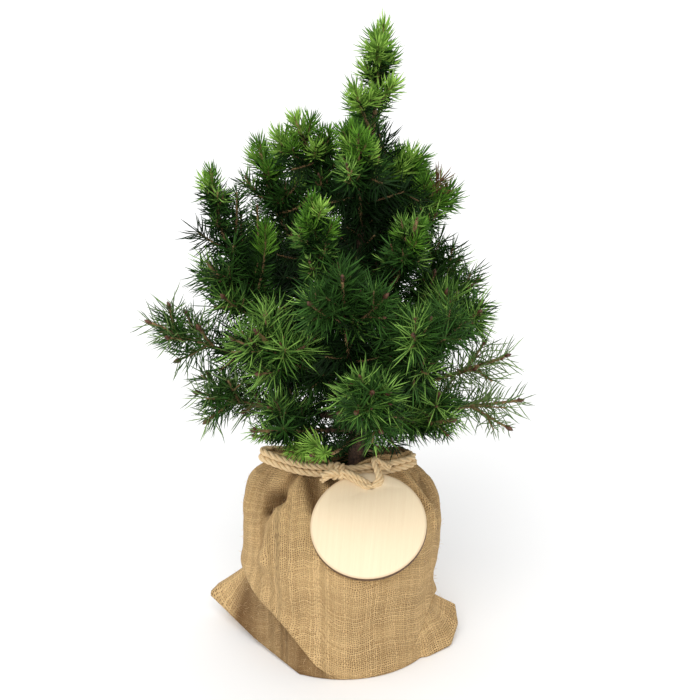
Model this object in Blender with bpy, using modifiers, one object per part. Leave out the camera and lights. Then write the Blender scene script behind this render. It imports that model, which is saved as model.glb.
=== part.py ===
"""Dwarf spruce sapling with its root ball in a tied jute sack.

The sapling stands on the flat underside of the sack.  The origin is the middle
of that underside, +Z is up and -Y is the side with the wooden tag.
"""
import functools
import math
import random

import bmesh
import bpy
from mathutils import Matrix, Vector

COLLECTION = "spruce_sapling"
UP = Vector((0, 0, 1))
GAP = 0.0003                      # air between pieces that touch on the real plant
WELD = 0.00001                    # points of a cap and its tube closer than this are one
SLIVER = 0.00005                  # and so are points of a fused mass

# Sack, sections from the ground up: height, reach to the left, to the right, half depth
SACK_SECTIONS = [
    (0.0000, 0.0500, 0.0500, 0.0565),     # flat underside
    (0.0025, 0.0580, 0.0580, 0.0620),
    (0.0080, 0.0600, 0.0585, 0.0628),
    (0.0160, 0.0605, 0.0575, 0.0628),
    (0.0260, 0.0605, 0.0562, 0.0628),
    (0.0380, 0.0600, 0.0560, 0.0630),
    (0.0560, 0.0615, 0.0590, 0.0635),     # widest round the ball
    (0.0700, 0.0617, 0.0600, 0.0605),
    (0.0800, 0.0617, 0.0602, 0.0520),     # shoulder, drawn in from front and back
    (0.0920, 0.0612, 0.0592, 0.0365),
    (0.1040, 0.0580, 0.0552, 0.0195),
    (0.1105, 0.0545, 0.0508, 0.0118),
    (0.1155, 0.0505, 0.0450, 0.0080),     # tied neck
    (0.1210, 0.0500, 0.0440, 0.0078),
    (0.1240, 0.0500, 0.0430, 0.0085),     # mouth
]
SACK_WALL = 0.0022
SACK_SIDES = 24
# Bottom corners of the flat sack stand out: direction, reach, height of the tip, spread
SACK_EARS = [(168, 0.0270, 0.0150, 17), (-4, 0.0150, 0.0090, 23)]
EAR_RISE = 0.020                  # from the ear's tip up to where it ends

# Root ball, turned: radius, height
BALL_PROFILE = [(0.0110, 0.0940), (0.0250, 0.0900), (0.0390, 0.0800), (0.0500, 0.0680),
                (0.0532, 0.0520), (0.0528, 0.0250), (0.0505, 0.0100), (0.0430, 0.0025)]
BALL_STEPS = 20

# Rope round the neck, with a loop through the tag
ROPE_RADIUS = 0.0022
ROPE_HEIGHT = 0.1185
ROPE_OFF = 0.0034                 # from the cloth to the rope's centre
LOOP_RADIUS = 0.0010

# Wooden tag, hung from the rope and lying on the sack's shoulder
TAG_RADIUS = 0.035
TAG_THICKNESS = 0.0032
TAG_LEAN = 51.5                   # degrees its face turns up from level
TAG_TURN = -6                     # degrees its face turns to the left
TAG_CENTRE = Vector((0.0153, -0.0410, 0.0934))
TAG_HOLE_RADIUS = 0.0024
TAG_HOLE_SETBACK = 0.0088         # from the tag's rim

# Trunk axis from the flat cut on the soil: height, sideways, radius
TRUNK_STATIONS = [
    (0.0943, 0.0070, 0.0085),     # root flare
    (0.0980, 0.0072, 0.0062),
    (0.1100, 0.0078, 0.0052),
    (0.1500, 0.0090, 0.0046),
    (0.2000, 0.0098, 0.0040),
    (0.2500, 0.0105, 0.0033),
    (0.2850, 0.0115, 0.0027),
    (0.3180, 0.0164, 0.0020),
]
TRUNK_TOP = TRUNK_STATIONS[-1][0]
TREE_TIP = Vector((0.0240, 0.0, 0.3965))
CROWN_MIDDLE = 0.010

# Limbs: height on the trunk, side in degrees (0 right, 90 back), reach, tip height,
# upsweep (0 straight, 1 ends upright)
LIMBS = {
    "left_top": (0.272, 182, 0.037, 0.334, 0.5),
    "right_top": (0.285, 10, 0.036, 0.309, 0.2),
    "front_top": (0.268, -92, 0.038, 0.335, 0.4),
    "back_top": (0.268, 84, 0.042, 0.328, 0.5),
    "left_high": (0.192, 181, 0.087, 0.311, 1.0),
    "left_back_high": (0.226, 156, 0.065, 0.311, 0.8),
    "left_inner": (0.184, 182, 0.090, 0.248, 0.5),
    "right_high": (0.240, 6, 0.047, 0.295, 0.5),
    "front_left_high": (0.208, -120, 0.054, 0.300, 0.8),
    "front_right_high": (0.218, -50, 0.050, 0.286, 0.6),
    "back_right_high": (0.228, 55, 0.058, 0.290, 0.6),
    "front_middle": (0.178, -98, 0.072, 0.262, 0.7),
    "right_middle": (0.184, 2, 0.072, 0.220, 0.5),
    "front_right": (0.172, -60, 0.078, 0.236, 0.5),
    "front_left": (0.176, -134, 0.084, 0.226, 0.5),
    "left_middle": (0.166, 178, 0.126, 0.207, 0.2),
    "back_left": (0.186, 132, 0.090, 0.245, 0.6),
    "back_middle": (0.182, 92, 0.086, 0.250, 0.6),
    "back_right": (0.176, 46, 0.088, 0.225, 0.5),
    "left_low": (0.146, 187, 0.098, 0.168, 0.2),
    "front_low": (0.158, -86, 0.094, 0.203, 0.4),
    "right_outer": (0.160, -3, 0.088, 0.189, 0.2),
    "right_low": (0.146, 4, 0.098, 0.155, 0.1),
    "front_base_left": (0.140, -144, 0.076, 0.158, 0.2),
    "front_base": (0.136, -104, 0.066, 0.152, 0.2),
    "front_base_right": (0.144, -42, 0.072, 0.166, 0.3),
    "back_low_left": (0.148, 128, 0.092, 0.175, 0.3),
    "back_low_right": (0.144, 66, 0.090, 0.165, 0.3),
}
TRUNK_MASSES = ("left_top", "right_top", "front_top", "back_top")   # no bough of their own
BOUGH_RADIUS = (0.0021, 0.0013)   # at the trunk, at the end
STEM_RADIUS = (0.0013, 0.0009)
LIMB_STEPS = 4

# Shoots: a slim core that needles stand out of
SHOOT_LENGTH = (0.032, 0.042)
SHOOT_SWING = 50                  # degrees a side shoot leaves its stem
LEADER_SWING = 34                 # the same round the upright leader
SHOOT_STATIONS = (0.08, 0.18, 0.29, 0.40, 0.51, 0.62)
SHOOT_TURN = 137.5                # degrees round the stem from one side shoot to the next
SHOOT_CORE = [(0.00, 0.0006), (0.20, 0.0028), (0.54, 0.0031), (0.88, 0.0012)]
NEEDLE_STAND = 0.0100             # how far a needle stands off the core
NEEDLE_LEAN = 0.0055              # how far it leans towards the tip
SHOOT_ROOM = 0.0032               # kept clear round a shoot's core
NEEDLE_ROOM = 0.0010              # and round a needle
FOLIAGE_FLOOR = 0.1260            # clear of the sack's mouth and rope
SEED = 21


# ---------------------------------------------------------------- materials

def paint(name, colour, roughness):
    material = bpy.data.materials.new(name)
    material.use_nodes = True
    shader = material.node_tree.nodes["Principled BSDF"]
    shader.inputs["Base Color"].default_value = (*colour, 1)
    shader.inputs["Roughness"].default_value = roughness
    shader.inputs["Metallic"].default_value = 0
    return material


def make_materials():
    return {
        "jute": paint("jute_cloth", (0.50, 0.35, 0.17), 0.95),
        "rope": paint("jute_rope", (0.62, 0.44, 0.24), 0.9),
        "soil": paint("peat_soil", (0.035, 0.022, 0.014), 1.0),
        "wood": paint("pale_plywood", (0.82, 0.66, 0.45), 0.6),
        "bark": paint("spruce_bark", (0.09, 0.05, 0.03), 0.9),
        "needles": paint("spruce_needles", (0.05, 0.13, 0.025), 0.6),
    }


# ---------------------------------------------------------------- helpers

def new_object(name, mesh, material=None):
    obj = bpy.data.objects.new(name, mesh)
    bpy.context.scene.collection.objects.link(obj)
    if material:
        obj.data.materials.append(material)
    return obj


def file_under(obj, collection):
    for old in list(obj.users_collection):
        old.objects.unlink(obj)
    collection.objects.link(obj)
    return obj


def mesh_from(obj):
    """The evaluated shape of a curve or a modified mesh, caps welded."""
    mesh = bpy.data.meshes.new_from_object(obj.evaluated_get(bpy.context.evaluated_depsgraph_get()))
    bm = bmesh.new()
    bm.from_mesh(mesh)
    bmesh.ops.remove_doubles(bm, verts=bm.verts, dist=WELD)
    bmesh.ops.recalc_face_normals(bm, faces=bm.faces)
    bm.to_mesh(mesh)
    bm.free()
    return mesh


def tube(name, points, radii, sides=6, cyclic=False):
    """A tube of changing radius along points; sides is 4, 6 or 8."""
    curve = bpy.data.curves.new(name + "_path", "CURVE")
    curve.dimensions = "3D"
    curve.bevel_depth = 1.0
    curve.bevel_resolution = (sides - 4) // 2
    curve.use_fill_caps = True
    spline = curve.splines.new("POLY")
    spline.points.add(len(points) - 1)
    spline.use_cyclic_u = cyclic
    for target, point, radius in zip(spline.points, points, radii):
        target.co = (*point, 1)
        target.radius = radius
    guide = new_object(name + "_path", curve)
    bpy.context.view_layer.update()
    mesh = mesh_from(guide)
    bpy.data.objects.remove(guide)
    bpy.data.curves.remove(curve)
    return new_object(name, mesh)


def fuse(name, body, others, collection_name):
    """Join touching solids into one closed body."""
    loose = bpy.data.collections.new(collection_name)
    bpy.context.scene.collection.children.link(loose)
    for other in others:
        file_under(other, loose)
    if others:
        union = body.modifiers.new("join", "BOOLEAN")
        union.operation = "UNION"
        union.operand_type = "COLLECTION"
        union.collection = loose
        union.solver = "EXACT"
        bpy.context.view_layer.update()
        mesh = mesh_from(body)
        body.modifiers.clear()
        body.data = mesh
    body.name = name
    for other in others:
        bpy.data.objects.remove(other)
    bpy.data.collections.remove(loose)
    drop_scraps(body.data)
    return body


def drop_scraps(mesh):
    """Weld slivers away and keep the largest shell of faces that meet along plain edges."""
    bm = bmesh.new()
    bm.from_mesh(mesh)
    bmesh.ops.triangulate(bm, faces=bm.faces)
    bmesh.ops.remove_doubles(bm, verts=bm.verts, dist=SLIVER)
    bmesh.ops.dissolve_degenerate(bm, edges=bm.edges, dist=SLIVER)
    left = set(bm.faces)
    shells = []
    while left:
        shell = [left.pop()]
        for face in shell:
            plain = [edge for edge in face.edges if len(edge.link_faces) == 2]
            near = {other for edge in plain for other in edge.link_faces}
            shell.extend(near & left)
            left -= near
        shells.append(shell)
    shells.sort(key=len)
    for shell in shells[:-1]:
        bmesh.ops.delete(bm, geom=shell, context="FACES")
    bm.to_mesh(mesh)
    bm.free()


def along(a, b, share):
    return a + (b - a) * share


def table_value(rows, key, column):
    """Read a column of a table between its rows, by the table's first column."""
    if key <= rows[0][0]:
        return rows[0][column]
    for low, high in zip(rows, rows[1:]):
        if key <= high[0]:
            return along(low[column], high[column], (key - low[0]) / (high[0] - low[0]))
    return rows[-1][column]


# ---------------------------------------------------------------- sack, ball, rope, tag

def ear_reach(turn, height):
    """How far the sack's bottom corners stand out at this turn and height."""
    total = 0
    for side, reach, tip, spread in SACK_EARS:
        apart = (turn - side + 180) % 360 - 180
        across = math.exp(-(apart / spread) ** 2)
        fall = EAR_RISE if height > tip else tip
        upright = max(0, 1 - abs(height - tip) / fall)
        total += reach * across * upright
    return total


def oval(turn, height, left, right, depth):
    """A point of a section that reaches further to one side than to the other."""
    c, s = math.cos(math.radians(turn)), math.sin(math.radians(turn))
    return Vector((c * (right if c > 0 else left), s * depth, height))


def sack_ring(bm, height, left, right, depth, ears):
    ring = []
    for k in range(SACK_SIDES):
        turn = 360 * k / SACK_SIDES
        point = oval(turn, height, left, right, depth)
        if ears:
            point += oval(turn, 0, 1, 1, 1) * ear_reach(turn, height)
        ring.append(bm.verts.new(point))
    return ring


def make_sack(material):
    """One wall, lofted up the outside to the mouth and down the inside to the floor."""
    bm = bmesh.new()
    rings = [sack_ring(bm, *section, True) for section in SACK_SECTIONS]
    for height, left, right, depth in reversed(SACK_SECTIONS):
        if height > 2 * SACK_WALL or height == 0:
            sizes = [size - SACK_WALL for size in (left, right, depth)]
            rings.append(sack_ring(bm, max(height, SACK_WALL), *sizes, False))
    for low, high in zip(rings, rings[1:]):
        for k in range(SACK_SIDES):
            n = (k + 1) % SACK_SIDES
            bm.faces.new((low[k], low[n], high[n], high[k]))
    bm.faces.new(reversed(rings[0]))
    bm.faces.new(rings[-1])
    bmesh.ops.recalc_face_normals(bm, faces=bm.faces)
    mesh = bpy.data.meshes.new("jute_sack")
    bm.to_mesh(mesh)
    bm.free()
    sack = new_object("jute_sack", mesh, material)
    mesh.shade_smooth()
    return sack


def make_ball(material):
    """Soil and roots, turned about the sack's axis."""
    bm = bmesh.new()
    top = BALL_PROFILE[0][1]
    bottom = BALL_PROFILE[-1][1]
    outline = [(0, top)] + BALL_PROFILE + [(0, bottom)]
    verts = [bm.verts.new((radius, 0, height)) for radius, height in outline]
    for a, b in zip(verts, verts[1:]):
        bm.edges.new((a, b))
    mesh = bpy.data.meshes.new("root_ball")
    bm.to_mesh(mesh)
    bm.free()
    ball = new_object("root_ball", mesh, material)
    screw = ball.modifiers.new("turn", "SCREW")
    screw.steps = screw.render_steps = BALL_STEPS
    screw.use_merge_vertices = True
    screw.merge_threshold = 0.00005
    return ball


def tag_frame():
    """Turns the tag's own axes, +Z out of its face and +Y to its hole, into place."""
    lean = Matrix.Rotation(math.radians(90 - TAG_LEAN), 4, "X")
    turn = Matrix.Rotation(math.radians(TAG_TURN), 4, "Z")
    return Matrix.Translation(TAG_CENTRE) @ turn @ lean


def make_rope(material):
    """Rope ring round the neck; its loop goes over the tag's rim and through the hole."""
    sizes = [table_value(SACK_SECTIONS, ROPE_HEIGHT, k) + ROPE_OFF for k in (1, 2, 3)]
    ring_points = [oval(360 * k / SACK_SIDES, ROPE_HEIGHT, *sizes) for k in range(SACK_SIDES)]
    ring = tube("ring", ring_points, [ROPE_RADIUS] * SACK_SIDES, cyclic=True)
    hole = TAG_RADIUS - TAG_HOLE_SETBACK
    off = TAG_THICKNESS / 2 + LOOP_RADIUS + GAP
    past_rim = TAG_RADIUS + 2 * LOOP_RADIUS
    in_tag = [(past_rim, off + LOOP_RADIUS), (hole + LOOP_RADIUS, off), (hole, 0),
              (hole + LOOP_RADIUS, -off), (past_rim, -off)]
    through = [tag_frame() @ Vector((0, y, z)) for y, z in in_tag]
    route = [Vector((through[0].x, -sizes[2], ROPE_HEIGHT))] + through
    loop = tube("loop", route, [LOOP_RADIUS] * len(route), cyclic=True)
    rope = fuse("neck_rope", ring, [loop], "loose_rope")
    rope.data.materials.append(material)
    return rope


def make_tag(material, cutters):
    tag = new_object("wooden_tag", disc_mesh("wooden_tag", TAG_RADIUS, TAG_THICKNESS, 36), material)
    tag.matrix_world = tag_frame()
    drill = new_object("tag_hole", disc_mesh("tag_hole", TAG_HOLE_RADIUS, 3 * TAG_THICKNESS, 16))
    middle = Matrix.Translation((0, TAG_RADIUS - TAG_HOLE_SETBACK, 0))
    drill.matrix_world = tag_frame() @ middle
    drill.hide_render = True
    drill.display_type = "WIRE"
    file_under(drill, cutters)
    cut = tag.modifiers.new("hole", "BOOLEAN")
    cut.operation = "DIFFERENCE"
    cut.object = drill
    return tag


def disc_mesh(name, radius, thickness, segments):
    bm = bmesh.new()
    bmesh.ops.create_cone(bm, cap_ends=True, segments=segments, radius1=radius, radius2=radius,
                          depth=thickness)
    mesh = bpy.data.meshes.new(name)
    bm.to_mesh(mesh)
    bm.free()
    return mesh


# ---------------------------------------------------------------- trunk and limbs

def trunk_point(height):
    return Vector((table_value(TRUNK_STATIONS, height, 1), 0, height))


def trunk_radius(height):
    return table_value(TRUNK_STATIONS, height, 2)


def make_trunk(material):
    points = [trunk_point(row[0]) for row in TRUNK_STATIONS]
    trunk = tube("trunk", points, [row[2] for row in TRUNK_STATIONS], sides=8)
    trunk.data.materials.append(material)
    return trunk


def limb_ends(name):
    leave, side, reach, tip_height, upsweep = LIMBS[name]
    root = trunk_point(leave)
    out = Vector((math.cos(math.radians(side)), math.sin(math.radians(side)), 0))
    tip = Vector((CROWN_MIDDLE, 0, tip_height)) + out * reach
    outward = 0.5 + 0.45 * upsweep
    upward = 0.5 - 0.40 * upsweep
    bend = Vector((along(root.x, tip.x, outward), along(root.y, tip.y, outward),
                   along(root.z, tip.z, upward)))
    return root, bend, tip


def limb_point(name, share):
    """A point on the limb's upswept curve, 0 on the trunk's axis and 1 at its furthest tip."""
    root, bend, tip = limb_ends(name)
    return along(along(root, bend, share), along(bend, tip, share), share)


def limb_start(name, radius):
    """Where the limb comes clear of the trunk."""
    share = 0.0
    while True:
        share += 0.004
        point = limb_point(name, share)
        ahead = (limb_point(name, share + 0.02) - point).normalized()
        axis = trunk_point(point.z)
        away = math.hypot(point.x - axis.x, point.y - axis.y)
        if away > trunk_radius(point.z - radius) + GAP + radius * abs(ahead.z) + 0.0002:
            return share


@functools.lru_cache(maxsize=None)
def cell_centre(name):
    if name == "leader":
        return along(trunk_point(TRUNK_TOP), TREE_TIP, 0.5)
    return limb_point(name, 0.84)


def in_cell(point, name, room=0.0):
    """A mass keeps to the points nearer its own centre than any other mass's."""
    own = cell_centre(name)
    for other in list(LIMBS) + ["leader"]:
        if other != name:
            centre = cell_centre(other)
            apart = centre - own
            if (point - (own + centre) / 2).dot(apart.normalized()) > -room - GAP:
                return False
    return True


def mass_start(name):
    """Where the bough gives way to its mass: as near the trunk as the cell allows."""
    share = 1.0
    while share > 0.28 and in_cell(limb_point(name, share - 0.02), name):
        share -= 0.02
    return share


def make_bough(name, material):
    first = limb_start(name, BOUGH_RADIUS[0])
    last = mass_start(name)
    shares = [along(first, last, k / (LIMB_STEPS - 1)) for k in range(LIMB_STEPS)]
    radii = [along(*BOUGH_RADIUS, k / (LIMB_STEPS - 1)) for k in range(LIMB_STEPS)]
    bough = tube("bough_" + name, [limb_point(name, s) for s in shares], radii)
    bough.data.materials.append(material)
    return bough


# ---------------------------------------------------------------- foliage

def distance_to_segment(point, a, b):
    line = b - a
    share = max(0, min(1, (point - a).dot(line) / line.length_squared))
    return (point - a - line * share).length


def limb_segments():
    """Straight stretches of the trunk and of every bough, with their radius."""
    stretches = []
    for low, high in zip(TRUNK_STATIONS, TRUNK_STATIONS[1:]):
        stretches.append((trunk_point(low[0]), trunk_point(high[0]), low[2]))
    for name in LIMBS:
        if name not in TRUNK_MASSES:
            last = mass_start(name)
            for k in range(4):
                a = limb_point(name, last * k / 4)
                b = limb_point(name, last * (k + 1) / 4)
                stretches.append((a, b, BOUGH_RADIUS[0]))
    return stretches


def keeps_inside(points, room, name, stretches):
    """True where round points of this room stay above the sack, in the cell and off the limbs."""
    for point in points:
        if point.z < FOLIAGE_FLOOR + room or not in_cell(point, name, room):
            return False
        for a, b, radius in stretches:
            if distance_to_segment(point, a, b) < radius + room + GAP:
                return False
    return True


def make_shoot(root, tip, name, stretches):
    """A slim spindle whose faces are drawn out into needles that lean to its tip."""
    ahead = (tip - root).normalized()
    size = (tip - root).length / SHOOT_LENGTH[1]
    points = [along(root, tip, share) for share, radius in SHOOT_CORE]
    radii = [radius * (0.6 + 0.4 * size) for share, radius in SHOOT_CORE]
    core = tube("shoot", points, radii, sides=4)
    bm = bmesh.new()
    bm.from_mesh(core.data)
    foot = 0.15 * (tip - root).length
    sides = [face for face in bm.faces if (face.calc_center_median() - root).dot(ahead) > foot]
    for face in [face for face in sides if abs(face.normal.dot(ahead)) < 0.8]:
        stand = NEEDLE_STAND * (0.7 + 0.3 * size)
        middle = face.calc_center_median()
        apex = middle + face.normal * stand + ahead * NEEDLE_LEAN
        probes = [along(middle, apex, share) for share in (0.2, 0.4, 0.6, 0.8)]
        if keeps_inside(probes, NEEDLE_ROOM, name, stretches) and keeps_inside([apex], 0, name, stretches):
            poked = bmesh.ops.poke(bm, faces=[face])
            poked["verts"][0].co = apex
    bm.to_mesh(core.data)
    bm.free()
    return core


def mass_axes(name, number, stretches):
    """Stem points and shoot axes of one mass, by a seeded rule."""
    rng = random.Random(SEED * 100 + number)
    if name == "leader":
        start = trunk_point(TRUNK_TOP) + UP * GAP
        path = [along(start, TREE_TIP, k / 4) for k in range(5)]
    else:
        share = mass_start(name)
        if name in TRUNK_MASSES:
            share = limb_start(name, STEM_RADIUS[0])
        path = [limb_point(name, along(share, 1, k / 6)) for k in range(7)]
        path[0] += (path[1] - path[0]).normalized() * GAP
    lengths = [0]
    for a, b in zip(path, path[1:]):
        lengths.append(lengths[-1] + (b - a).length)
    rows = [(length, point) for length, point in zip(lengths, path)]
    total = lengths[-1]
    longest = min(SHOOT_LENGTH[1], 0.8 * total)
    shoots = [(table_value(rows, total - longest, 1), path[-1])]
    spread = LEADER_SWING if name == "leader" else SHOOT_SWING
    first_turn = rng.uniform(0, 360)
    for k, station in enumerate(SHOOT_STATIONS):
        at = total * station
        root = table_value(rows, at, 1)
        ahead = (table_value(rows, at + 0.002, 1) - root).normalized()
        across = ahead.cross(UP).normalized()
        lift = across.cross(ahead)
        roll = math.radians(first_turn + SHOOT_TURN * k)
        swing = math.radians(spread + rng.uniform(-8, 8))
        out = across * math.cos(roll) + lift * math.sin(roll)
        heading = (ahead * math.cos(swing) + out * math.sin(swing)).normalized()
        full = min(rng.uniform(*SHOOT_LENGTH), 0.58 * total)
        for length in (full, 0.8 * full, 0.6 * full):
            tip = root + heading * length
            probes = [along(root, tip, share) for share in (0.25, 0.5, 0.75, 0.9)]
            if keeps_inside(probes, SHOOT_ROOM, name, stretches):
                shoots.append((root, tip))
                break
    return path, total - longest, rows, shoots


def make_mass(name, number, stretches, material):
    path, stem_length, rows, shoots = mass_axes(name, number, stretches)
    stops = [stem_length * k / 4 for k in range(5)]
    stem_points = [table_value(rows, stop, 1) for stop in stops]
    stem_points.append(table_value(rows, stem_length + 0.006, 1))
    radii = [along(*STEM_RADIUS, k / 5) for k in range(6)]
    stem = tube("stem", stem_points, radii, sides=4)
    pieces = []
    for root, tip in shoots:
        pieces.append(make_shoot(root, tip, name, stretches))
    mass = fuse("foliage_" + name, stem, pieces, "loose_shoots")
    mass.data.materials.clear()
    mass.data.materials.append(material)
    return mass


# ---------------------------------------------------------------- assembly

def clear_scene():
    for obj in list(bpy.data.objects):
        bpy.data.objects.remove(obj)


def main():
    clear_scene()
    plant = bpy.data.collections.new(COLLECTION)
    cutters = bpy.data.collections.new("cutters")
    bpy.context.scene.collection.children.link(plant)
    bpy.context.scene.collection.children.link(cutters)
    materials = make_materials()
    parts = [make_sack(materials["jute"]), make_ball(materials["soil"]),
             make_rope(materials["rope"]), make_tag(materials["wood"], cutters),
             make_trunk(materials["bark"])]
    for name in LIMBS:
        if name not in TRUNK_MASSES:
            parts.append(make_bough(name, materials["bark"]))
    stretches = limb_segments()
    for number, name in enumerate(list(LIMBS) + ["leader"]):
        parts.append(make_mass(name, number, stretches, materials["needles"]))
    for part in parts:
        file_under(part, plant)


main()
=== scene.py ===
import functools
import math
import random

import bmesh
import bpy
import numpy as np
from mathutils import Matrix, Vector, noise


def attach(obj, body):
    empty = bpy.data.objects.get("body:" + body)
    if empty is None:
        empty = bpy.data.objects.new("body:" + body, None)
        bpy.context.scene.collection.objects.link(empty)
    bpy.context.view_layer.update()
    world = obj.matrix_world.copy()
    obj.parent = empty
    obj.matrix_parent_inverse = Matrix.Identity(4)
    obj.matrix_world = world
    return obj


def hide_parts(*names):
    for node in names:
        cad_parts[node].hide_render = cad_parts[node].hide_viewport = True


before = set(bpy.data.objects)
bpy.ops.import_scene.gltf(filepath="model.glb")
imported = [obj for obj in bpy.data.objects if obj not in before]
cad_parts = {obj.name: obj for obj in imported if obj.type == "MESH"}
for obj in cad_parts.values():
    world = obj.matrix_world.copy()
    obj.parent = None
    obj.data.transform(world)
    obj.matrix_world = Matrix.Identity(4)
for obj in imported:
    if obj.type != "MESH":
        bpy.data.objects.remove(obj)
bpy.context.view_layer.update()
print("frame loaded with", len(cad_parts), "nodes")

up = Vector((0, 0, 1))
body = "root"


# camera: looks down on the plant from the front
cameraSetup = {
    "target": (0.0042, 0, 0.1908),
    "distance": 1.3,
    "elevation": 22,
    "lens": 111.446,
    "sensor": 36,
}


def placeCamera():
    data = bpy.data.cameras.new("studioCamera")
    data.lens = cameraSetup["lens"]
    data.sensor_width = cameraSetup["sensor"]
    data.clip_start = 0.01
    camera = bpy.data.objects.new("studioCamera", data)
    bpy.context.scene.collection.objects.link(camera)
    tilt = math.radians(cameraSetup["elevation"])
    back = Vector((0, -math.cos(tilt), math.sin(tilt)))
    camera.location = Vector(cameraSetup["target"]) + back * cameraSetup["distance"]
    camera.rotation_euler = (math.radians(90) - tilt, 0, 0)
    bpy.context.scene.camera = camera


placeCamera()


# small helpers for meshes and objects

def addObject(name, mesh, *materials):
    piece = bpy.data.objects.new(name, mesh)
    bpy.context.scene.collection.objects.link(piece)
    for material in materials:
        piece.data.materials.append(material)
    return piece


def meshOf(piece):
    # the evaluated shape as a plain mesh
    bpy.context.view_layer.update()
    graph = bpy.context.evaluated_depsgraph_get()
    return bpy.data.meshes.new_from_object(piece.evaluated_get(graph), depsgraph=graph)


def dropObject(piece):
    bpy.data.objects.remove(piece)


def settle(piece, slot, *nodes):
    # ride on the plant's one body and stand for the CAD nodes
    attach(piece, body)
    if nodes:
        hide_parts(*nodes)
    triangles = sum(len(face.vertices) - 2 for face in piece.data.polygons)
    print("piece", piece.name, "with", triangles, "triangles")
    return piece


def newShape():
    return {"verts": [], "faces": [], "uvs": []}


def shapeMesh(name, shape):
    mesh = bpy.data.meshes.new(name)
    mesh.from_pydata(shape["verts"], [], shape["faces"])
    layer = mesh.uv_layers.new(name="surface")
    flat = np.array([uv for face in shape["uvs"] for uv in face], dtype=np.float32)
    layer.data.foreach_set("uv", flat.ravel())
    mesh.shade_smooth()
    mesh.validate()
    return mesh


def mix(a, b, share):
    return a + (b - a) * share


def smoothStep(low, high, value):
    share = np.clip((value - low) / (high - low), 0, 1)
    return share * share * (3 - 2 * share)


def tableValue(rows, key, column):
    # reads a column of a table between its rows, by the first column
    if key <= rows[0][0]:
        return rows[0][column]
    for low, high in zip(rows, rows[1:]):
        if key <= high[0]:
            return mix(low[column], high[column], (key - low[0]) / (high[0] - low[0]))
    return rows[-1][column]


def between(a, b, c, d, share):
    # the even curve from b to c, with a before them and d after
    bend = 2 * a - 5 * b + 4 * c - d
    twist = 3 * b - a - 3 * c + d
    return 0.5 * (2 * b + (c - a) * share + bend * share * share + twist * share ** 3)


def smoothPath(points, steps):
    # an even curve through given points, as Vectors
    points = [Vector(point) for point in points]
    ends = [points[0] * 2 - points[1]] + points + [points[-1] * 2 - points[-2]]
    dense = []
    for a, b, c, d in zip(ends, ends[1:], ends[2:], ends[3:]):
        dense.extend(between(a, b, c, d, k / 12) for k in range(12))
    dense.append(points[-1])
    rows = [(0, dense[0])]
    for a, b in zip(dense, dense[1:]):
        rows.append((rows[-1][0] + (b - a).length, b))
    total = rows[-1][0]
    return [tableValue(rows, total * k / steps, 1).copy() for k in range(steps + 1)]


def pathFrames(points):
    # across and lift directions carried along a path without twisting
    frames = []
    ahead = (points[1] - points[0]).normalized()
    across = ahead.orthogonal().normalized()
    for k in range(len(points)):
        near = points[min(k + 1, len(points) - 1)] - points[max(k - 1, 0)]
        turn = ahead.rotation_difference(near.normalized())
        ahead = near.normalized()
        across = (turn @ across).normalized()
        frames.append((across, ahead.cross(across)))
    return frames


def sweep(shape, points, radii, sides, relief=None):
    # a closed tube along points, its surface map in metres round and along
    frames = pathFrames(points)
    first = len(shape["verts"])
    along = 0
    lengths = []
    for k, (point, radius) in enumerate(zip(points, radii)):
        if k:
            along += (point - points[k - 1]).length
        lengths.append(along)
        across, lift = frames[k]
        for side in range(sides):
            turn = 2 * math.pi * side / sides
            out = across * math.cos(turn) + lift * math.sin(turn)
            reach = radius + (relief(point + out * radius) if relief else 0)
            shape["verts"].append(tuple(point + out * reach))
    girth = 2 * math.pi * max(radii)
    for k in range(len(points) - 1):
        for side in range(sides):
            n = (side + 1) % sides
            a = first + k * sides
            shape["faces"].append((a + side, a + n, a + sides + n, a + sides + side))
            left, right = girth * side / sides, girth * (side + 1) / sides
            shape["uvs"].append([(left, lengths[k]), (right, lengths[k]),
                                 (right, lengths[k + 1]), (left, lengths[k + 1])])
    last = first + (len(points) - 1) * sides
    shape["faces"].append(tuple(first + side for side in reversed(range(sides))))
    shape["uvs"].append([(0, 0)] * sides)
    shape["faces"].append(tuple(last + side for side in range(sides)))
    shape["uvs"].append([(0, along)] * sides)


# small helpers for node trees

def plug(tree, socket, value):
    if isinstance(value, bpy.types.NodeSocket):
        tree.links.new(value, socket)
    elif value is not None:
        socket.default_value = value


def addNode(tree, kind, inputs=None, **settings):
    node = tree.nodes.new(kind)
    for name, value in settings.items():
        setattr(node, name, value)
    for name, value in (inputs or {}).items():
        plug(tree, node.inputs[name], value)
    return node


def maths(tree, operation, a, b=None, c=None, clamp=False):
    node = addNode(tree, "ShaderNodeMath", operation=operation, use_clamp=clamp)
    for socket, value in zip(node.inputs, (a, b, c)):
        plug(tree, socket, value)
    return node.outputs[0]


def mixColour(tree, share, a, b):
    node = addNode(tree, "ShaderNodeMix", data_type="RGBA")
    plug(tree, node.inputs[0], share)
    plug(tree, node.inputs[6], a)
    plug(tree, node.inputs[7], b)
    return node.outputs[2]


def spread(tree, value, fromLow, fromHigh, toLow, toHigh):
    node = addNode(tree, "ShaderNodeMapRange", {"Value": value, "From Min": fromLow, "From Max": fromHigh,
                                                "To Min": toLow, "To Max": toHigh})
    return node.outputs["Result"]


def colour(red, green, blue):
    return (red, green, blue, 1)


socketKinds = {                            # every other socket is a plain number
    "Vector": "NodeSocketVector",
    "Geometry": "NodeSocketGeometry",
    "Pattern": "NodeSocketObject",
    "Material": "NodeSocketMaterial",
    "Seed": "NodeSocketInt",
}


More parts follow.
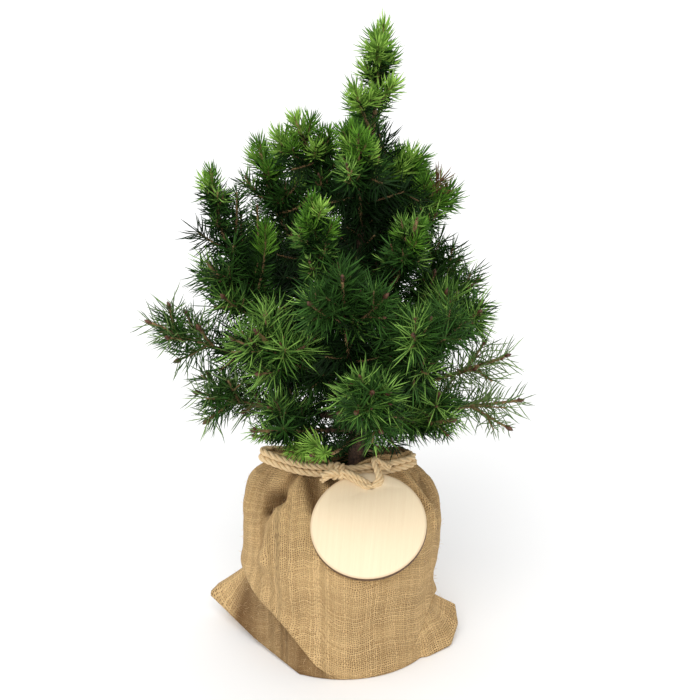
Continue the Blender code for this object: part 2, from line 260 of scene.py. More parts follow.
def newGroup(name, kind, inputs, outputs):
    # inputs are names with their defaults, outputs are names
    tree = bpy.data.node_groups.new(name, kind)
    for title, default in inputs.items():
        socketKind = socketKinds.get(title, "NodeSocketFloat")
        socket = tree.interface.new_socket(title, in_out="INPUT", socket_type=socketKind)
        if default is not None:
            socket.default_value = default
    for title in outputs:
        socketKind = socketKinds.get(title, "NodeSocketFloat")
        tree.interface.new_socket(title, in_out="OUTPUT", socket_type=socketKind)
    start = tree.nodes.new("NodeGroupInput")
    end = tree.nodes.new("NodeGroupOutput")
    return tree, start, end


# shader groups that several finishes share

def makeMottleGroup():
    # soft blotches of two scales, 0 to 1
    tree, start, end = newGroup("mottle", "ShaderNodeTree",
                                {"Vector": None, "Scale": 100.0, "Contrast": 1.0}, ["Mask", "Fine"])
    broad = addNode(tree, "ShaderNodeTexNoise", {"Vector": start.outputs["Vector"],
                                                 "Scale": start.outputs["Scale"], "Detail": 3.0})
    fineScale = maths(tree, "MULTIPLY", start.outputs["Scale"], 7.0)
    fine = addNode(tree, "ShaderNodeTexNoise", {"Vector": start.outputs["Vector"],
                                                "Scale": fineScale, "Detail": 5.0})
    centred = maths(tree, "SUBTRACT", broad.outputs[0], 0.5)
    stronger = maths(tree, "MULTIPLY_ADD", centred, start.outputs["Contrast"], 0.5, clamp=True)
    tree.links.new(stronger, end.inputs["Mask"])
    tree.links.new(fine.outputs[0], end.inputs["Fine"])
    return tree


def makeFibreGroup():
    # long thin streaks along the second axis of the pattern
    tree, start, end = newGroup("fibres", "ShaderNodeTree",
                                {"Vector": None, "Across": 2500.0, "Along": 150.0}, ["Streak"])
    parts = addNode(tree, "ShaderNodeSeparateXYZ", {"Vector": start.outputs["Vector"]})
    x = maths(tree, "MULTIPLY", parts.outputs[0], start.outputs["Across"])
    y = maths(tree, "MULTIPLY", parts.outputs[1], start.outputs["Along"])
    z = maths(tree, "MULTIPLY", parts.outputs[2], start.outputs["Across"])
    joined = addNode(tree, "ShaderNodeCombineXYZ", {"X": x, "Y": y, "Z": z})
    streak = addNode(tree, "ShaderNodeTexNoise", {"Vector": joined.outputs[0], "Scale": 1.0,
                                                  "Detail": 4.0, "Roughness": 0.6})
    tree.links.new(streak.outputs[0], end.inputs["Streak"])
    return tree


def makeWeaveGroup():
    # plain weave: warp and weft threads that pass over and under, with open holes between
    tree, start, end = newGroup("plainWeave", "ShaderNodeTree",
                                {"Vector": None, "Pitch": 0.0013, "Wander": 0.35},
                                ["Height", "Hole", "Thread"])
    drift = addNode(tree, "ShaderNodeTexNoise",
                    {"Vector": start.outputs["Vector"], "Scale": 160.0, "Detail": 2.0})
    shifted = addNode(tree, "ShaderNodeVectorMath", {0: drift.outputs["Color"], 1: (0.5, 0.5, 0.5)},
                      operation="SUBTRACT")
    sized = addNode(tree, "ShaderNodeVectorMath", {0: shifted.outputs[0]}, operation="SCALE")
    reach = maths(tree, "MULTIPLY", start.outputs["Wander"], start.outputs["Pitch"])
    plug(tree, sized.inputs["Scale"], maths(tree, "MULTIPLY", reach, 6.0))
    place = addNode(tree, "ShaderNodeVectorMath", {0: start.outputs["Vector"], 1: sized.outputs[0]},
                    operation="ADD")
    parts = addNode(tree, "ShaderNodeSeparateXYZ", {"Vector": place.outputs[0]})
    x = maths(tree, "DIVIDE", parts.outputs[0], start.outputs["Pitch"])
    y = maths(tree, "DIVIDE", parts.outputs[1], start.outputs["Pitch"])
    heights = []
    ribs = []
    for a, b, phase in ((x, y, 0.0), (y, x, 1.0)):
        rib = maths(tree, "ABSOLUTE", maths(tree, "SINE", maths(tree, "MULTIPLY", a, math.pi)))
        row = maths(tree, "ADD", maths(tree, "FLOOR", a), phase)
        wave = maths(tree, "SINE", maths(tree, "MULTIPLY", maths(tree, "ADD", b, row), math.pi))
        over = maths(tree, "MULTIPLY_ADD", wave, 0.35, 0.65)
        ribs.append(rib)
        heights.append(maths(tree, "MULTIPLY", maths(tree, "POWER", rib, 0.7), over))
    height = maths(tree, "MAXIMUM", heights[0], heights[1])
    hole = maths(tree, "SUBTRACT", 1.0, maths(tree, "MAXIMUM", ribs[0], ribs[1]))
    xRow = maths(tree, "FLOOR", x)
    yRow = maths(tree, "ADD", maths(tree, "FLOOR", y), 91.0)             # apart from the other way's numbers
    xTone = addNode(tree, "ShaderNodeTexWhiteNoise", {"W": xRow}, noise_dimensions="1D")
    yTone = addNode(tree, "ShaderNodeTexWhiteNoise", {"W": yRow}, noise_dimensions="1D")
    onTop = maths(tree, "GREATER_THAN", heights[0], heights[1])
    thread = mixFloat(tree, onTop, yTone.outputs["Value"], xTone.outputs["Value"])
    tree.links.new(height, end.inputs["Height"])
    tree.links.new(hole, end.inputs["Hole"])
    tree.links.new(thread, end.inputs["Thread"])
    return tree


def mixFloat(tree, share, a, b):
    node = addNode(tree, "ShaderNodeMix", data_type="FLOAT")
    plug(tree, node.inputs[0], share)
    plug(tree, node.inputs[2], a)
    plug(tree, node.inputs[3], b)
    return node.outputs[0]


mottleGroup = makeMottleGroup()
fibreGroup = makeFibreGroup()
weaveGroup = makeWeaveGroup()


def useGroup(tree, group, inputs):
    node = addNode(tree, "ShaderNodeGroup", node_tree=group)
    for name, value in inputs.items():
        plug(tree, node.inputs[name], value)
    return node


def newMaterial(name, roughness, **plain):
    # plain values go straight on the shader's own sockets
    material = bpy.data.materials.new(name)
    material.use_nodes = True
    tree = material.node_tree
    shader = tree.nodes["Principled BSDF"]
    shader.inputs["Roughness"].default_value = roughness
    for title, value in plain.items():
        shader.inputs[title.replace("_", " ")].default_value = value
    return material, tree, shader


def paint(tree, shader, base, height, relief):
    # the colour, and the height as a relief of so many metres
    tree.links.new(base, shader.inputs["Base Color"])
    bump = addNode(tree, "ShaderNodeBump", {"Height": height, "Distance": relief, "Strength": 1.0})
    tree.links.new(bump.outputs[0], shader.inputs["Normal"])


def weighed(tree, a, shareA, b, shareB):
    return maths(tree, "MULTIPLY_ADD", a, shareA, maths(tree, "MULTIPLY", b, shareB))


def markOn(tree, name):
    # a value that the mesh carries point by point
    return addNode(tree, "ShaderNodeAttribute", attribute_name=name).outputs["Fac"]


def objectPlace(tree):
    return addNode(tree, "ShaderNodeTexCoord").outputs["Object"]


def surfacePlace(tree):
    return addNode(tree, "ShaderNodeUVMap", uv_map="surface").outputs[0]


# finishes

juteLook = {
    "pitch": 0.00142,                      # of the weave
    "pale": colour(0.80, 0.555, 0.275),
    "tan": colour(0.40, 0.250, 0.105),
    "hole": colour(0.085, 0.045, 0.018),
    "foldShade": colour(0.13, 0.062, 0.020),    # painted shade in the deep folds, under the ridge and on the inside
    "relief": 0.0007,
}


def juteCloth():
    material, tree, shader = newMaterial("juteCloth", 0.95, Specular_IOR_Level=0.2)
    place = surfacePlace(tree)
    weave = useGroup(tree, weaveGroup, {"Vector": place, "Pitch": juteLook["pitch"], "Wander": 0.35})
    patch = useGroup(tree, mottleGroup, {"Vector": objectPlace(tree), "Scale": 45.0, "Contrast": 2.4})
    streak = useGroup(tree, fibreGroup, {"Vector": place, "Across": 3200.0, "Along": 420.0})
    tone = weighed(tree, weave.outputs["Thread"], 0.55, streak.outputs[0], 0.5)
    base = mixColour(tree, maths(tree, "SUBTRACT", tone, 0.05, clamp=True), juteLook["tan"], juteLook["pale"])
    openness = spread(tree, patch.outputs["Mask"], 0.2, 0.8, 0.60, 0.26)
    hole = maths(tree, "SUBTRACT", weave.outputs["Hole"], openness)
    hole = maths(tree, "MULTIPLY", hole, 4.0, clamp=True)
    cloth = mixColour(tree, hole, base, juteLook["hole"])
    # painted shade: the cloth turns dark brown where the folds, the ridge's overhang and the sack's inside
    # would be in shade
    paintedShade = markOn(tree, "paintedShade")
    shadeBlot = maths(tree, "MULTIPLY", paintedShade, spread(tree, patch.outputs["Mask"], 0.0, 1.0, 0.55, 1.0))
    cloth = mixColour(tree, shadeBlot, cloth, juteLook["foldShade"])
    height = maths(tree, "MULTIPLY_ADD", streak.outputs[0], 0.35, weave.outputs["Height"])
    paint(tree, shader, cloth, height, juteLook["relief"])
    return material


def juteRope():
    material, tree, shader = newMaterial("juteRope", 0.9, Specular_IOR_Level=0.2)
    place = surfacePlace(tree)
    streak = useGroup(tree, fibreGroup, {"Vector": place, "Across": 2600.0, "Along": 260.0})
    patch = useGroup(tree, mottleGroup, {"Vector": objectPlace(tree), "Scale": 220.0, "Contrast": 2.0})
    tone = weighed(tree, patch.outputs["Mask"], 0.35, streak.outputs[0], 0.8)
    base = mixColour(tree, maths(tree, "SUBTRACT", tone, 0.1, clamp=True),
                     colour(0.58, 0.385, 0.180), colour(0.98, 0.78, 0.49))
    paint(tree, shader, base, streak.outputs[0], 0.00025)
    return material


def paleWood():
    # birch ply face: faint upright grain, toasted a little towards the laser-cut rim
    material, tree, shader = newMaterial("paleWood", 0.55)
    place = surfacePlace(tree)
    streak = useGroup(tree, fibreGroup, {"Vector": place, "Across": 520.0, "Along": 14.0})
    fine = useGroup(tree, fibreGroup, {"Vector": place, "Across": 4200.0, "Along": 170.0})
    tone = weighed(tree, fine.outputs[0], 0.45, streak.outputs[0], 0.75)
    tone = maths(tree, "SUBTRACT", tone, 0.1, clamp=True)
    base = mixColour(tree, tone, colour(0.80, 0.62, 0.40), colour(0.93, 0.79, 0.56))
    rim = addNode(tree, "ShaderNodeVectorMath", {0: place}, operation="LENGTH").outputs["Value"]
    toast = spread(tree, rim, tagShape["radius"] - 0.0016, tagShape["radius"], 0.0, 0.55)
    toasted = mixColour(tree, toast, base, colour(0.45, 0.27, 0.12))
    paint(tree, shader, toasted, fine.outputs[0], 0.00006)
    return material


def burntEdge():
    material, tree, shader = newMaterial("burntEdge", 0.75)
    place = objectPlace(tree)
    patch = useGroup(tree, mottleGroup, {"Vector": place, "Scale": 380.0, "Contrast": 2.2})
    base = mixColour(tree, patch.outputs["Mask"], colour(0.045, 0.022, 0.010), colour(0.20, 0.105, 0.045))
    paint(tree, shader, base, patch.outputs["Fine"], 0.0001)
    return material


def sproutBark():
    material, tree, shader = newMaterial("sproutBark", 0.85)
    place = objectPlace(tree)
    patch = useGroup(tree, mottleGroup, {"Vector": place, "Scale": 260.0, "Contrast": 2.5})
    crack = addNode(tree, "ShaderNodeTexVoronoi", {"Vector": place, "Scale": 520.0},
                    feature="DISTANCE_TO_EDGE")
    seam = spread(tree, crack.outputs["Distance"], 0.0, 0.12, 1.0, 0.0)
    base = mixColour(tree, patch.outputs["Mask"], colour(0.038, 0.021, 0.013), colour(0.145, 0.078, 0.042))
    barked = mixColour(tree, maths(tree, "MULTIPLY", seam, 0.6), base, colour(0.018, 0.010, 0.006))
    height = maths(tree, "SUBTRACT", patch.outputs["Fine"], seam)
    paint(tree, shader, barked, height, 0.0004)
    return material


mottles = {                                # roughness, patch scale, contrast, dark, light, depth of the bump
    "youngTwig": (0.7, 330.0, 2.0, colour(0.10, 0.058, 0.026), colour(0.32, 0.20, 0.080), 0.0002),
    "budScales": (0.5, 700.0, 2.5, colour(0.024, 0.009, 0.005), colour(0.150, 0.058, 0.024), 0.00015),
    "peatSoil": (1.0, 300.0, 2.4, colour(0.012, 0.008, 0.005), colour(0.075, 0.045, 0.026), 0.0008),
}


def mottled(name):
    # plain stuff, dark and light in small patches
    roughness, scale, contrast, dark, light, depth = mottles[name]
    material, tree, shader = newMaterial(name, roughness)
    place = objectPlace(tree)
    patch = useGroup(tree, mottleGroup, {"Vector": place, "Scale": scale, "Contrast": contrast})
    base = mixColour(tree, patch.outputs["Mask"], dark, light)
    paint(tree, shader, base, patch.outputs["Fine"], depth)
    return material


def needleGreen(name, shade, light, foot):
    # shade and light by needle and along it, with a pale streak; foot is the paler base
    material, tree, shader = newMaterial(name, 0.55, Specular_IOR_Level=0.12)
    tint = markOn(tree, "tint")
    along = markOn(tree, "along")
    patch = useGroup(tree, mottleGroup, {"Vector": objectPlace(tree), "Scale": 90.0, "Contrast": 1.6})
    tone = weighed(tree, tint, 0.75, patch.outputs["Mask"], 0.35)
    green = mixColour(tree, maths(tree, "POWER", tone, 1.5, clamp=True), shade, light)
    pale = spread(tree, along, 0.0, 0.3, 0.55, 0.0)
    footed = mixColour(tree, pale, green, foot)
    paint(tree, shader, footed, patch.outputs["Fine"], 0.00005)
    return material


# sack: a flat bag stood up round the ball, its bottom corners folded out as ears
sackShape = {
    "sections": [                          # height, reach left, reach right, half depth
        (0.0000, 0.0565, 0.0560, 0.0585),
        (0.0025, 0.0580, 0.0580, 0.0620),
        (0.0080, 0.0600, 0.0585, 0.0628),
        (0.0160, 0.0605, 0.0575, 0.0628),
        (0.0260, 0.0605, 0.0562, 0.0628),
        (0.0380, 0.0600, 0.0560, 0.0630),
        (0.0560, 0.0615, 0.0590, 0.0635),
        (0.0700, 0.0617, 0.0600, 0.0605),
        (0.0800, 0.0617, 0.0602, 0.0520),
        (0.0920, 0.0612, 0.0592, 0.0365),
        (0.1040, 0.0573, 0.0540, 0.0195),
        (0.1105, 0.0528, 0.0480, 0.0118),
        (0.1155, 0.0474, 0.0412, 0.0080),
        (0.1210, 0.0462, 0.0396, 0.0078),
        (0.1240, 0.0464, 0.0392, 0.0085),
    ],
    "dip": (272, 22, 1.9),                 # where the mouth sinks in front: turn, width, how many sections
    "wall": 0.0016,
    "turns": 288,                          # columns round the sack
    "bodyRows": 120,
    "flapRows": 30,
    "ridge": [                             # turn, height where the front panel folds over, depth of the fold
        (60, 0.004, 0.0), (95, 0.010, 0.0), (125, 0.030, 0.0030), (150, 0.041, 0.0060),
        (181, 0.050, 0.0080), (196, 0.052, 0.0086), (208, 0.048, 0.0090), (222, 0.041, 0.0090),
        (236, 0.032, 0.0078), (246, 0.021, 0.0055), (255, 0.009, 0.0020), (262, 0.004, 0.0),
        (305, 0.004, 0.0), (325, 0.018, 0.0010), (340, 0.031, 0.0040), (346, 0.033, 0.0060),
        (358, 0.030, 0.0080), (372, 0.026, 0.0060), (395, 0.012, 0.0), (420, 0.004, 0.0),
    ],
    "corners": [                           # plan and height of the ground outline's corners
        (-0.0300, 0.0540, 0.0010), (-0.0705, 0.0335, 0.0170), (-0.0800, 0.0275, 0.0170),
        (-0.0850, 0.0190, 0.0150), (-0.0555, -0.0185, 0.0050), (-0.0260, -0.0560, 0.0005),
        (0.0520, -0.0345, 0.0005), (0.0668, -0.0215, 0.0015), (0.0718, -0.0060, 0.0080),
        (0.0706, 0.0070, 0.0130), (0.0560, 0.0320, 0.0020),
    ],
    "shadeTurns": (186, 254),                 # turns of the ridge with painted shade in the fold beside it
    "drawnIn": (192, 244),                 # turns where the outline keeps to the corners' straight side
    "gathers": [(7, 0.9, 0.4), (11, 0.7, 1.9), (17, 0.5, 4.1), (23, 0.3, 2.2)],     # count, share, start
    "gatherDepth": 0.0034,
    "gatherRise": (0.060, 0.116),          # heights where the gathers begin and are fully deep
    "quiet": {"share": 0.65, "from": (192, 205), "to": (345, 355)},      # turns with weaker gathers
    "lip": (0.34, 0.06),                   # lean of the ridge over its fold, and the share of rows it takes
    "calmUnder": 0.004,                    # folds die out below this height
    "belly": (0.0022, 0.02),               # bulge of a flap, and the length of flap that has it in full
    "folds": [                             # path as (turn, height), width, depth into the cloth
        ([(236, 0.1165), (233, 0.108), (228, 0.101)], 0.0024, 0.0062),
        ([(229, 0.101), (223, 0.1005), (219, 0.097)], 0.0052, 0.0105),
        ([(219, 0.097), (216, 0.088), (214, 0.078)], 0.0060, 0.0034),
        ([(242, 0.1155), (230, 0.096), (223, 0.080), (220, 0.070)], 0.0046, -0.0040),
        ([(245, 0.113), (253, 0.104), (256, 0.098)], 0.0044, 0.0085),
        ([(258, 0.115), (266, 0.108), (272, 0.100)], 0.0040, 0.0050),
        ([(323, 0.1165), (326, 0.108), (330, 0.099), (334, 0.093), (337, 0.082)], 0.0022, -0.0020),
        ([(318, 0.112), (322, 0.104), (327, 0.095)], 0.0024, 0.0022),
        ([(206, 0.110), (204, 0.100), (203, 0.088)], 0.0040, 0.0024),
        ([(341, 0.106), (344, 0.096), (346, 0.084)], 0.0030, 0.0036),
        ([(331, 0.110), (334, 0.103), (340, 0.097)], 0.0024, 0.0034),
        ([(352, 0.108), (354, 0.098), (356, 0.088)], 0.0034, 0.0030),
        ([(262, 0.050), (285, 0.036), (300, 0.020)], 0.0120, 0.0012),
        ([(215, 0.062), (226, 0.052), (240, 0.040)], 0.0090, 0.0011),
    ],
    "sag": 0.0010,                         # soft unevenness of the cloth over the ball
    "girth": 0.384,                        # of cloth round the sack, for the weave
    "neckRows": 78,                        # rows from the mouth down where the inside follows the folds
}


def sackSizes(step):
    # smooth reading of the sections: step counts sections up from the ground
    rows = sackShape["sections"]
    k = min(int(step), len(rows) - 2)
    near = (np.array(rows[max(0, min(len(rows) - 1, k + n))]) for n in (-1, 0, 1, 2))
    return between(*near, step - k)


def sackStepAt(height):
    rows = sackShape["sections"]
    for k, (low, high) in enumerate(zip(rows, rows[1:])):
        if height <= high[0]:
            return k + (height - low[0]) / (high[0] - low[0])
    return len(rows) - 1.0


def sackPoint(turn, step, inset=0.0):
    height, left, right, depth = sackSizes(step)
    c, s = math.cos(math.radians(turn)), math.sin(math.radians(turn))
    return Vector((c * ((right if c > 0 else left) - inset), s * (depth - inset), height))


def ridgeAt(turn, column):
    rows = sackShape["ridge"]
    turn = turn if turn >= rows[0][0] else turn + 360
    return float(np.interp(turn, [row[0] for row in rows], [row[column] for row in rows]))


def groundOutline(turn):
    # reach and height of the bottom edge: the foot's oval, or the straight sides between the corners
    foot = sackPoint(turn, 1.0)
    reach, height = math.hypot(foot.x, foot.y), 0.0
    angle = math.atan2(foot.y, foot.x)
    c, s = math.cos(angle), math.sin(angle)
    corners = sackShape["corners"]
    for a, b in zip(corners, corners[1:] + corners[:1]):
        ex, ey = b[0] - a[0], b[1] - a[1]
        cross = c * ey - s * ex
        if abs(cross) < 1e-9:
            continue
        far = (a[0] * ey - a[1] * ex) / cross
        share = (a[0] * s - a[1] * c) / cross
        drawnIn = sackShape["drawnIn"][0] < math.degrees(angle) % 360 < sackShape["drawnIn"][1]
        if far > 0 and 0 <= share <= 1 and (far > reach or drawnIn):
            reach, height = far, mix(a[2], b[2], share)
    return angle, reach, height


def foldDepth(places):
    # how far each point sinks in for the named folds
    depth = np.zeros(places.shape[:2])
    for path, width, sink in sackShape["folds"]:
        points = [sackPoint(turn, sackStepAt(height)) for turn, height in path]
        nearest = np.full(places.shape[:2], 9.0)
        for a, b in zip(points, points[1:]):
            a, b = np.array(a), np.array(b)
            share = np.clip(((places - a) @ (b - a)) / ((b - a) @ (b - a)), 0, 1)
            nearest = np.minimum(nearest, np.linalg.norm(places - a - share[..., None] * (b - a), axis=2))
        depth += sink * np.exp(-(nearest / width) ** 2)
    return depth


def gatherDepth(turns, heights):
    wave = np.zeros_like(turns)
    for count, share, start in sackShape["gathers"]:
        wave += share * (np.abs(np.sin(np.radians(turns) * count / 2 + start)) ** 0.7 - 0.6)
    strength = smoothStep(*sackShape["gatherRise"], heights)
    weak = sackShape["quiet"]
    quiet = 1 - weak["share"] * smoothStep(*weak["from"], turns) * (1 - smoothStep(*weak["to"], turns))
    return -wave * strength * quiet * sackShape["gatherDepth"]


def normalsOf(places):
    # outward directions of a grid that closes round its second axis
    down = np.gradient(places, axis=0)
    around = (np.roll(places, -1, axis=1) - np.roll(places, 1, axis=1)) / 2
    out = np.cross(around, -down)
    return out / np.maximum(np.linalg.norm(out, axis=2, keepdims=True), 1e-12)


def sackGrid():
    count = sackShape["turns"]
    turns = [360 * k / count for k in range(count)]
    top = len(sackShape["sections"]) - 1.0
    rows = sackShape["bodyRows"]
    places = np.zeros((rows, count, 3))
    middle, width, sunk = sackShape["dip"]
    for k, turn in enumerate(turns):
        low = sackStepAt(ridgeAt(turn, 1))
        high = top - sunk * math.exp(-((turn - middle) / width) ** 2)
        for row in range(rows):
            places[row, k] = sackPoint(turn, mix(high, low, row / (rows - 1)))
    out = normalsOf(places)
    turnGrid = np.broadcast_to(np.array(turns), places.shape[:2])
    sink = foldDepth(places) + gatherDepth(turnGrid, places[..., 2])
    for row in range(rows):
        for k in range(count):
            place = Vector(places[row, k])
            uneven = noise.noise(place * 38) + 0.4 * noise.noise(place * 110)
            sink[row, k] -= sackShape["sag"] * uneven
    foldOver = np.array([ridgeAt(turn, 2) for turn in turns])
    ahead = (rows - 1 - np.arange(rows)) / rows
    lean, span = sackShape["lip"]
    sink -= lean * foldOver[None, :] * np.exp(-(ahead[:, None] / span) ** 2)
    calm = smoothStep(0.0, sackShape["calmUnder"], places[..., 2])
    outer = places - out * (sink * calm)[..., None]
    # painted shade: darker the deeper the fold
    paintedShade = np.clip(foldDepth(places) / 0.0105, 0, 1) ** 0.8
    return turns, outer, paintedShade


def flapGrid(turns, lip):
    # below the ridge: under the fold, out along the ear and over its edge to the underside
    rows = sackShape["flapRows"]
    bulge, full = sackShape["belly"]
    grid = np.zeros((rows + 3, len(turns), 3))
    for k, turn in enumerate(turns):
        angle, reach, edgeHeight = groundOutline(turn)
        fold = ridgeAt(turn, 2)
        start = Vector(lip[k])
        flat = Vector((math.cos(angle), math.sin(angle), 0))
        notch = start - Vector((start.x, start.y, 0)).normalized() * fold - up * fold * 0.35
        edge = flat * reach + up * (edgeHeight + 0.0016)
        for row in range(rows):
            share = (row + 1) / rows
            belly = math.sin(math.pi * share) * bulge * min(1, (edge - notch).length / full)
            belly *= 1 - 1.2 * min(1, fold / 0.009)    # flatter under a deep fold
            place = notch.lerp(edge, share) + (flat + up).normalized() * belly
            if fold > 0.001:
                place += up * 0.0006 * noise.noise(place * 90)
            grid[row, k] = place
        grid[rows, k] = flat * (reach + 0.0004) + up * max(0.0006, edgeHeight - 0.0002)
        grid[rows + 1, k] = flat * (reach - 0.0012) + up * max(0.0, edgeHeight - 0.0018)
        grid[rows + 2, k] = flat * min(0.049, reach - 0.006)
    return grid


def innerGrid(outerBody, out, flap):
    # the inside of the wall: follows the folds near the neck, then the bag down to its floor, inside the flap
    count = outerBody.shape[1]
    wall = sackShape["wall"]
    rows = [outerBody[k] - out[k] * wall for k in range(0, sackShape["neckRows"], 3)]
    low = float(min(row[:, 2].min() for row in rows))
    for height in np.linspace(low - 0.006, 2 * wall, 14):
        step = sackStepAt(height)
        ring = np.array([sackPoint(360 * k / count, step, 0.0022) for k in range(count)])
        for k in range(count):
            column = flap[:, k]
            outside = np.interp(height, column[::-1, 2], np.hypot(column[::-1, 0], column[::-1, 1]), right=9)
            reach = math.hypot(ring[k, 0], ring[k, 1])
            ring[k, :2] *= min(1, (outside - 1.3 * wall) / reach)
        rows.append(ring)
    rows.append(np.array([sackPoint(360 * k / count, 1.0, 0.006) for k in range(count)]))
    rows[-1][:, 2] = wall
    return rows


def buildSack():
    turns, outerBody, bodyShade = sackGrid()
    out = normalsOf(outerBody)
    flap = flapGrid(turns, outerBody[-1])
    first, last = sackShape["shadeTurns"]
    ridge = [outerBody[-1][k] for k, turn in enumerate(turns) if first < turn < last]
    apart = flap[:, :, None, :2] - np.array(ridge)[None, None, :, :2]
    besideRidge = np.linalg.norm(apart, axis=3).min(axis=2)
    # painted shade on the flap beside the ridge, where its overhang would shade it
    flapShade = np.clip(1.3 - besideRidge / 0.0125, 0, 1)
    outside = list(outerBody) + list(flap)
    inside = innerGrid(outerBody, out, flap[:sackShape["flapRows"]])
    mouth = (outerBody[0] + inside[0]) / 2 + np.array([0, 0, 0.0009])
    rings = inside[::-1] + [mouth] + outside
    count = len(turns)
    shape = newShape()
    steps = np.linalg.norm(np.diff(np.array(rings), axis=0), axis=2)
    down = np.vstack([np.zeros(count), np.cumsum(steps, axis=0)])
    down -= down[len(inside)]              # the weave starts level at the mouth
    girth = sackShape["girth"]
    for ring in rings:
        shape["verts"].extend(tuple(place) for place in ring)
    for row in range(len(rings) - 1):
        for k in range(count):
            n = (k + 1) % count
            a, b = row * count, (row + 1) * count
            shape["faces"].append((a + k, b + k, b + n, a + n))
            left, right = girth * k / count, girth * (k + 1) / count
            shape["uvs"].append([(left, -down[row, k]), (left, -down[row + 1, k]),
                                 (right, -down[row + 1, n]), (right, -down[row, n])])
    for ring, height in ((0, sackShape["wall"]), (len(rings) - 1, 0.0)):
        hub = len(shape["verts"])
        shape["verts"].append((0, 0, height))
        for k in range(count):
            n = (k + 1) % count
            a, b = ring * count + k, ring * count + n
            face = (hub, a, b) if ring == 0 else (hub, b, a)
            shape["faces"].append(face)
            shape["uvs"].append([(shape["verts"][v][0], shape["verts"][v][1]) for v in face])
    mesh = shapeMesh("juteSack", shape)
    shadeMarks = np.zeros(len(mesh.vertices))
    first = (len(inside) + 1) * count
    marks = np.concatenate([bodyShade.ravel(), flapShade.ravel()])
    shadeMarks[:len(inside) * count] = 0.8     # painted shade on the inside, where the mouth is dark
    shadeMarks[first:first + len(marks)] = marks
    mesh.attributes.new("paintedShade", "FLOAT", "POINT").data.foreach_set("value", shadeMarks)
    return addObject("juteSack", mesh, juteCloth())


# root ball: peat dome inside the sack
ballShape = {
    "profile": [(0.0110, 0.0945), (0.0250, 0.0905), (0.0390, 0.0800), (0.0500, 0.0680), (0.0520, 0.0520),
                (0.0508, 0.0250), (0.0490, 0.0100), (0.0430, 0.0028)],
    "columns": 96,
    "rows": 60,
    "lumps": 0.0012,
}


def buildBall(material):
    profile = [(0.0006, 0.0948)] + ballShape["profile"] + [(0.0006, 0.0026)]
    points = [Vector((radius, 0, height)) for radius, height in profile]
    profile = smoothPath(points, ballShape["rows"])
    shape = newShape()
    columns = ballShape["columns"]
    for point in profile:
        for k in range(columns):
            turn = 2 * math.pi * k / columns
            place = Vector((point.x * math.cos(turn), point.x * math.sin(turn), point.z))
            lump = ballShape["lumps"] * (noise.noise(place * 130) + 0.6 * noise.noise(place * 420) - 0.7)
            flat = Vector((place.x, place.y, 0))
            out = flat.normalized() if flat.length > 0.002 else Vector()
            out += up * (0.6 if point.z > 0.06 else 0)
            shape["verts"].append(tuple(place + out * min(lump, 0.0)))
    for row in range(len(profile) - 1):
        for k in range(columns):
            n = (k + 1) % columns
            a, b = row * columns, (row + 1) * columns
            shape["faces"].append((a + k, b + k, b + n, a + n))
            shape["uvs"].append([(0, 0), (0, 0.001), (0.001, 0.001), (0.001, 0)])
    shape["faces"].append(tuple(range(columns)))
    shape["faces"].append(tuple((len(profile) - 1) * columns + k for k in reversed(range(columns))))
    shape["uvs"].extend([[(0, 0)] * columns, [(0, 0)] * columns])
    return addObject("peatBall", shapeMesh("peatBall", shape), material)


# rope: three-strand jute cord round the neck, tied in front, its ends through the tag
ropeShape = {
    "height": 0.1185,
    "off": 0.0028,                         # from the cloth to the rope's middle
    "radius": 0.0021,
    "turns": [(0.0021, 0.0), (-0.0021, 0.0006)],       # each turn round the neck: lift, further off
    "knotRadius": 0.0020,
    "tieShare": 0.9,                       # radius of the ends through the tag, by the knot's
    "strands": 3,
    "strandShare": 0.52,                   # a strand's radius and its way off the middle, by the rope's
    "sides": 8,
    "taperLength": 0.006,                  # where a tapered end thins
    "laysPerMetre": 78,                    # turns of the strands in a metre
    "knotLays": 100,
    "tieLays": 90,
    "knot": Vector((-0.0040, -0.0138, 0.1172)),
    "tails": [                             # the knot's own ends, from the knot's middle
        [(-0.0010, -0.0040, 0.0006), (-0.0046, -0.0052, -0.0008),
         (-0.0072, -0.0040, -0.0030), (-0.0088, -0.0030, -0.0052)],
        [(0.0008, -0.0042, 0.0012), (-0.0030, -0.0058, 0.0020),
         (-0.0062, -0.0060, 0.0012), (-0.0086, -0.0048, -0.0006)],
    ],
    "leftRise": 0.0040,                    # the rope climbs to the sack's pointed left corner
    "frontDip": 0.0032,                    # and sinks to its knot
}


def twistedCord(shape, points, radius, lays, taper=None):
    # strands wound round a centre line; taper gives each end's share of the radius
    frames = pathFrames(points)
    along = [0]
    for a, b in zip(points, points[1:]):
        along.append(along[-1] + (b - a).length)
    total = along[-1]
    strands, strandShare = ropeShape["strands"], ropeShape["strandShare"]
    for strand in range(strands):
        line = []
        radii = []
        for point, (across, lift), done in zip(points, frames, along):
            size = radius
            if taper:
                near = mix(taper[0], 1, min(1, done / ropeShape["taperLength"]))
                far = mix(taper[1], 1, min(1, (total - done) / ropeShape["taperLength"]))
                size *= near * far
            turn = 2 * math.pi * (strand / strands + lays * done)
            out = across * math.cos(turn) + lift * math.sin(turn)
            line.append(point + out * size * strandShare)
            radii.append(size * strandShare)
        sweep(shape, line, radii, ropeShape["sides"])


def neckLoop(count, lift, further):
    # one turn of the rope, closed: an oval that follows the gathered neck
    points = []
    for k in range(count + 1):
        turn = 360 * k / count
        sizes = sackSizes(sackStepAt(ropeShape["height"]))
        c, s = math.cos(math.radians(turn)), math.sin(math.radians(turn))
        left, right, depth = (size + ropeShape["off"] + further for size in sizes[1:])
        place = Vector((c * (right if c > 0 else left), s * depth, ropeShape["height"] + lift))
        place.z += ropeShape["leftRise"] * max(0, -c) ** 3 - ropeShape["frontDip"] * max(0, -s) ** 4
        place.z += 0.0009 * noise.noise(place * 60 + Vector((0, 0, 400 * lift)))
        points.append(place)
    return points


